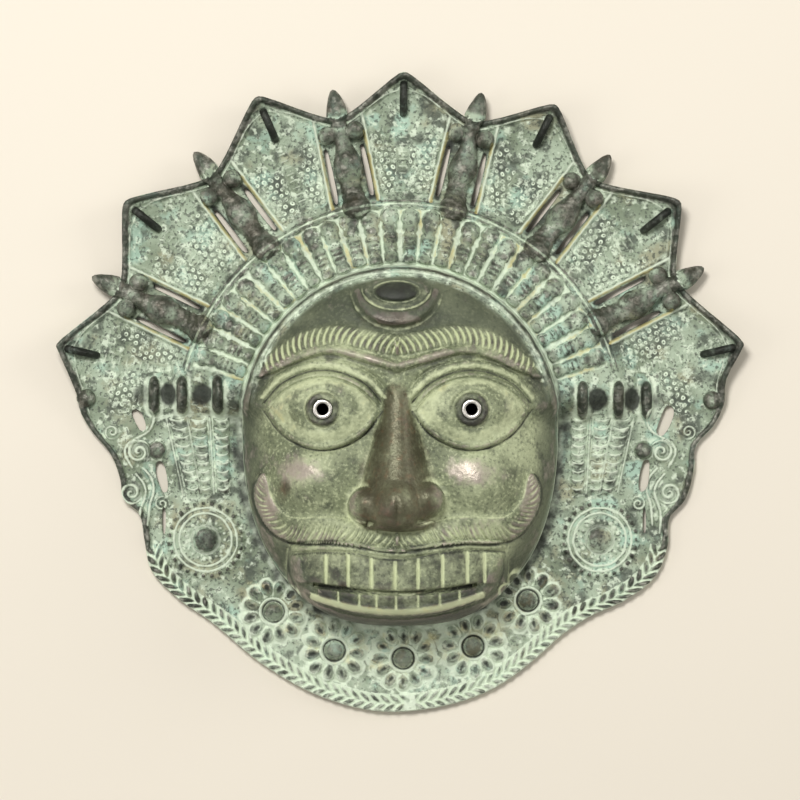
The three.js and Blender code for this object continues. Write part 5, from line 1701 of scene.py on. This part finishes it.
@dataclass(frozen=True)
class WhiteMetal:
    """White metal, turned and polished: pale grey with a clear shine and faint turning marks."""

    metal: str = "#D9D6CF"
    tarnish: str = "#8E8A80"
    mark_mm: float = 0.5
    stain_mm: float = 2.5

    def material(self) -> bpy.types.Material:
        """Builds the finish of the pupils' rings.

        Returns:
            The material.
        """
        made = bpy.data.materials.new("polished_white_metal")
        made.use_nodes = True
        tree = made.node_tree
        tree.nodes.clear()
        place = add(tree, "ShaderNodeTexCoord").outputs["Object"]
        stain = add(
            tree, "ShaderNodeTexNoise", {"Vector": place, "Scale": 1 / (self.stain_mm * MM), "Detail": 4.0}
        ).outputs[0]
        marks = add(tree, "ShaderNodeTexNoise", {"Vector": place, "Scale": 1 / (self.mark_mm * MM)})
        amount = add(tree, "ShaderNodeMapRange", {0: stain, 1: 0.5, 2: 0.75, 3: 0.0, 4: 0.7}).outputs[0]
        colour = add(
            tree, "ShaderNodeMix", {0: amount, 6: linear(self.metal), 7: linear(self.tarnish)},
            data_type="RGBA",
        ).outputs[2]
        rough = add(tree, "ShaderNodeMapRange", {0: stain, 1: 0.3, 2: 0.8, 3: 0.22, 4: 0.42}).outputs[0]
        fine = add(
            tree, "ShaderNodeBump", {"Height": marks.outputs[0], "Strength": 0.25, "Distance": 0.05 * MM}
        ).outputs[0]
        shader = add(
            tree, "ShaderNodeBsdfPrincipled",
            {"Base Color": colour, "Metallic": 0.85, "Roughness": rough, "Normal": fine},
        )
        add(tree, "ShaderNodeOutputMaterial", {"Surface": shader.outputs[0]})
        return made


@dataclass
class PupilRing:
    """A ring of white metal let into an iris: a rounded oblong turned about an upright axis."""

    node: str
    hole: float = 2.9
    outer: float = 4.8
    sides: int = 64

    def build(self) -> bpy.types.Object:
        """Turns the ring where its node stands.

        Returns:
            The ring.
        """
        low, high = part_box(self.node)
        x, y = 0.5 * (low[0] + high[0]), 0.5 * (low[1] + high[1])
        t = 2 * np.pi * np.arange(20) / 20
        squared = lambda v: np.sign(v) * np.abs(v) ** 0.5
        r = 0.5 * MM * ((self.outer + self.hole) + (self.outer - self.hole) * squared(np.cos(t)))
        z = 0.5 * (low[2] + high[2]) + 0.5 * (high[2] - low[2]) * squared(np.sin(t))
        turn = 2 * np.pi * np.arange(self.sides) / self.sides
        ring = np.stack([
            x + r[None] * np.cos(turn)[:, None], y + r[None] * np.sin(turn)[:, None],
            np.broadcast_to(z, (self.sides, 20)),
        ], axis=-1)
        index = np.arange(self.sides * 20).reshape(self.sides, 20)
        ahead = np.roll(index, -1, axis=0)
        quads = np.stack([index, ahead, np.roll(ahead, -1, axis=1), np.roll(index, -1, axis=1)], axis=-1)
        made = mesh_object(self.node + "_turned", ring.reshape(-1, 3), quads.reshape(-1, 4))
        made.data.polygons.foreach_set("use_smooth", np.ones(len(made.data.polygons), bool))
        return made


@dataclass
class Studio:
    """A pale floor, soft light from above the halo, and a camera that looks straight down."""

    camera_height: float = 2.6
    frame_width: float = 0.4
    focus_plane: float = 0.012
    centre_y: float = -0.0038
    floor_gap: float = 0.0002
    floor: str = "#DDD6C9"

    def build(self) -> None:
        """Makes the floor, the lights and the camera."""
        half = 3.0
        corners = np.array([[-half, -half, 0], [half, -half, 0], [half, half, 0], [-half, half, 0]])
        corners = corners - [0, 0, self.floor_gap]
        floor = mesh_object("studio_floor", corners, np.array([[0, 1, 2, 3]]))
        paper = bpy.data.materials.new("matt_paper")
        paper.use_nodes = True
        shader = paper.node_tree.nodes["Principled BSDF"]
        shader.inputs["Base Color"].default_value = linear(self.floor)
        shader.inputs["Roughness"].default_value = 0.95
        floor.data.materials.append(paper)
        self.light("key_light", (-0.32, 0.62, 1.62), 0.45, 25.0)
        self.light("fill_light", (-1.4, -0.3, 0.9), 0.9, 4.5)
        self.light("rim_light", (1.4, 0.5, 0.7), 0.7, 7.0)
        world = bpy.data.worlds.new("soft_room")
        world.use_nodes = True
        world.node_tree.nodes["Background"].inputs[0].default_value = linear("#F4F1EA")
        world.node_tree.nodes["Background"].inputs[1].default_value = 0.42
        bpy.context.scene.world = world
        bpy.context.scene.view_settings.view_transform = "Standard"
        view = bpy.data.cameras.new("camera")
        view.sensor_fit = "HORIZONTAL"
        view.angle = 2 * math.atan(0.5 * self.frame_width / (self.camera_height - self.focus_plane))
        camera = bpy.data.objects.new("camera", view)
        camera.location = (0.0, self.centre_y, self.camera_height)
        bpy.context.scene.collection.objects.link(camera)
        bpy.context.scene.camera = camera

    def light(self, name: str, place: tuple[float, float, float], size: float, power: float) -> None:
        """Adds one square soft light that faces the mask."""
        lamp = bpy.data.lights.new(name, "AREA")
        lamp.size, lamp.energy = size, power
        lamp.color = (1.0, 0.985, 0.96)
        made = bpy.data.objects.new(name, lamp)
        made.location = place
        made.rotation_euler = (Vector((0, 0, 0)) - Vector(place)).to_track_quat("-Z", "Y").to_euler()
        bpy.context.scene.collection.objects.link(made)


def main() -> None:
    """Builds every piece in order and reports it."""
    logging.basicConfig(level=logging.INFO, format="%(message)s")
    Studio().build()
    casting = MaskCasting().build()
    casting.data.polygons.foreach_set("use_smooth", np.ones(len(casting.data.polygons), bool))
    casting.data.materials.clear()
    casting.data.materials.append(Verdigris().material())
    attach(casting, "root")
    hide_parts("mask")
    LOG.info("mask_casting is in place")
    metal = WhiteMetal().material()
    for node in ("left_pupil_ring", "right_pupil_ring"):
        ring = PupilRing(node).build()
        ring.data.materials.append(metal)
        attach(ring, "root")
        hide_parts(node)
        LOG.info("%s is in place", ring.name)


if __name__ == "__main__":
    main()
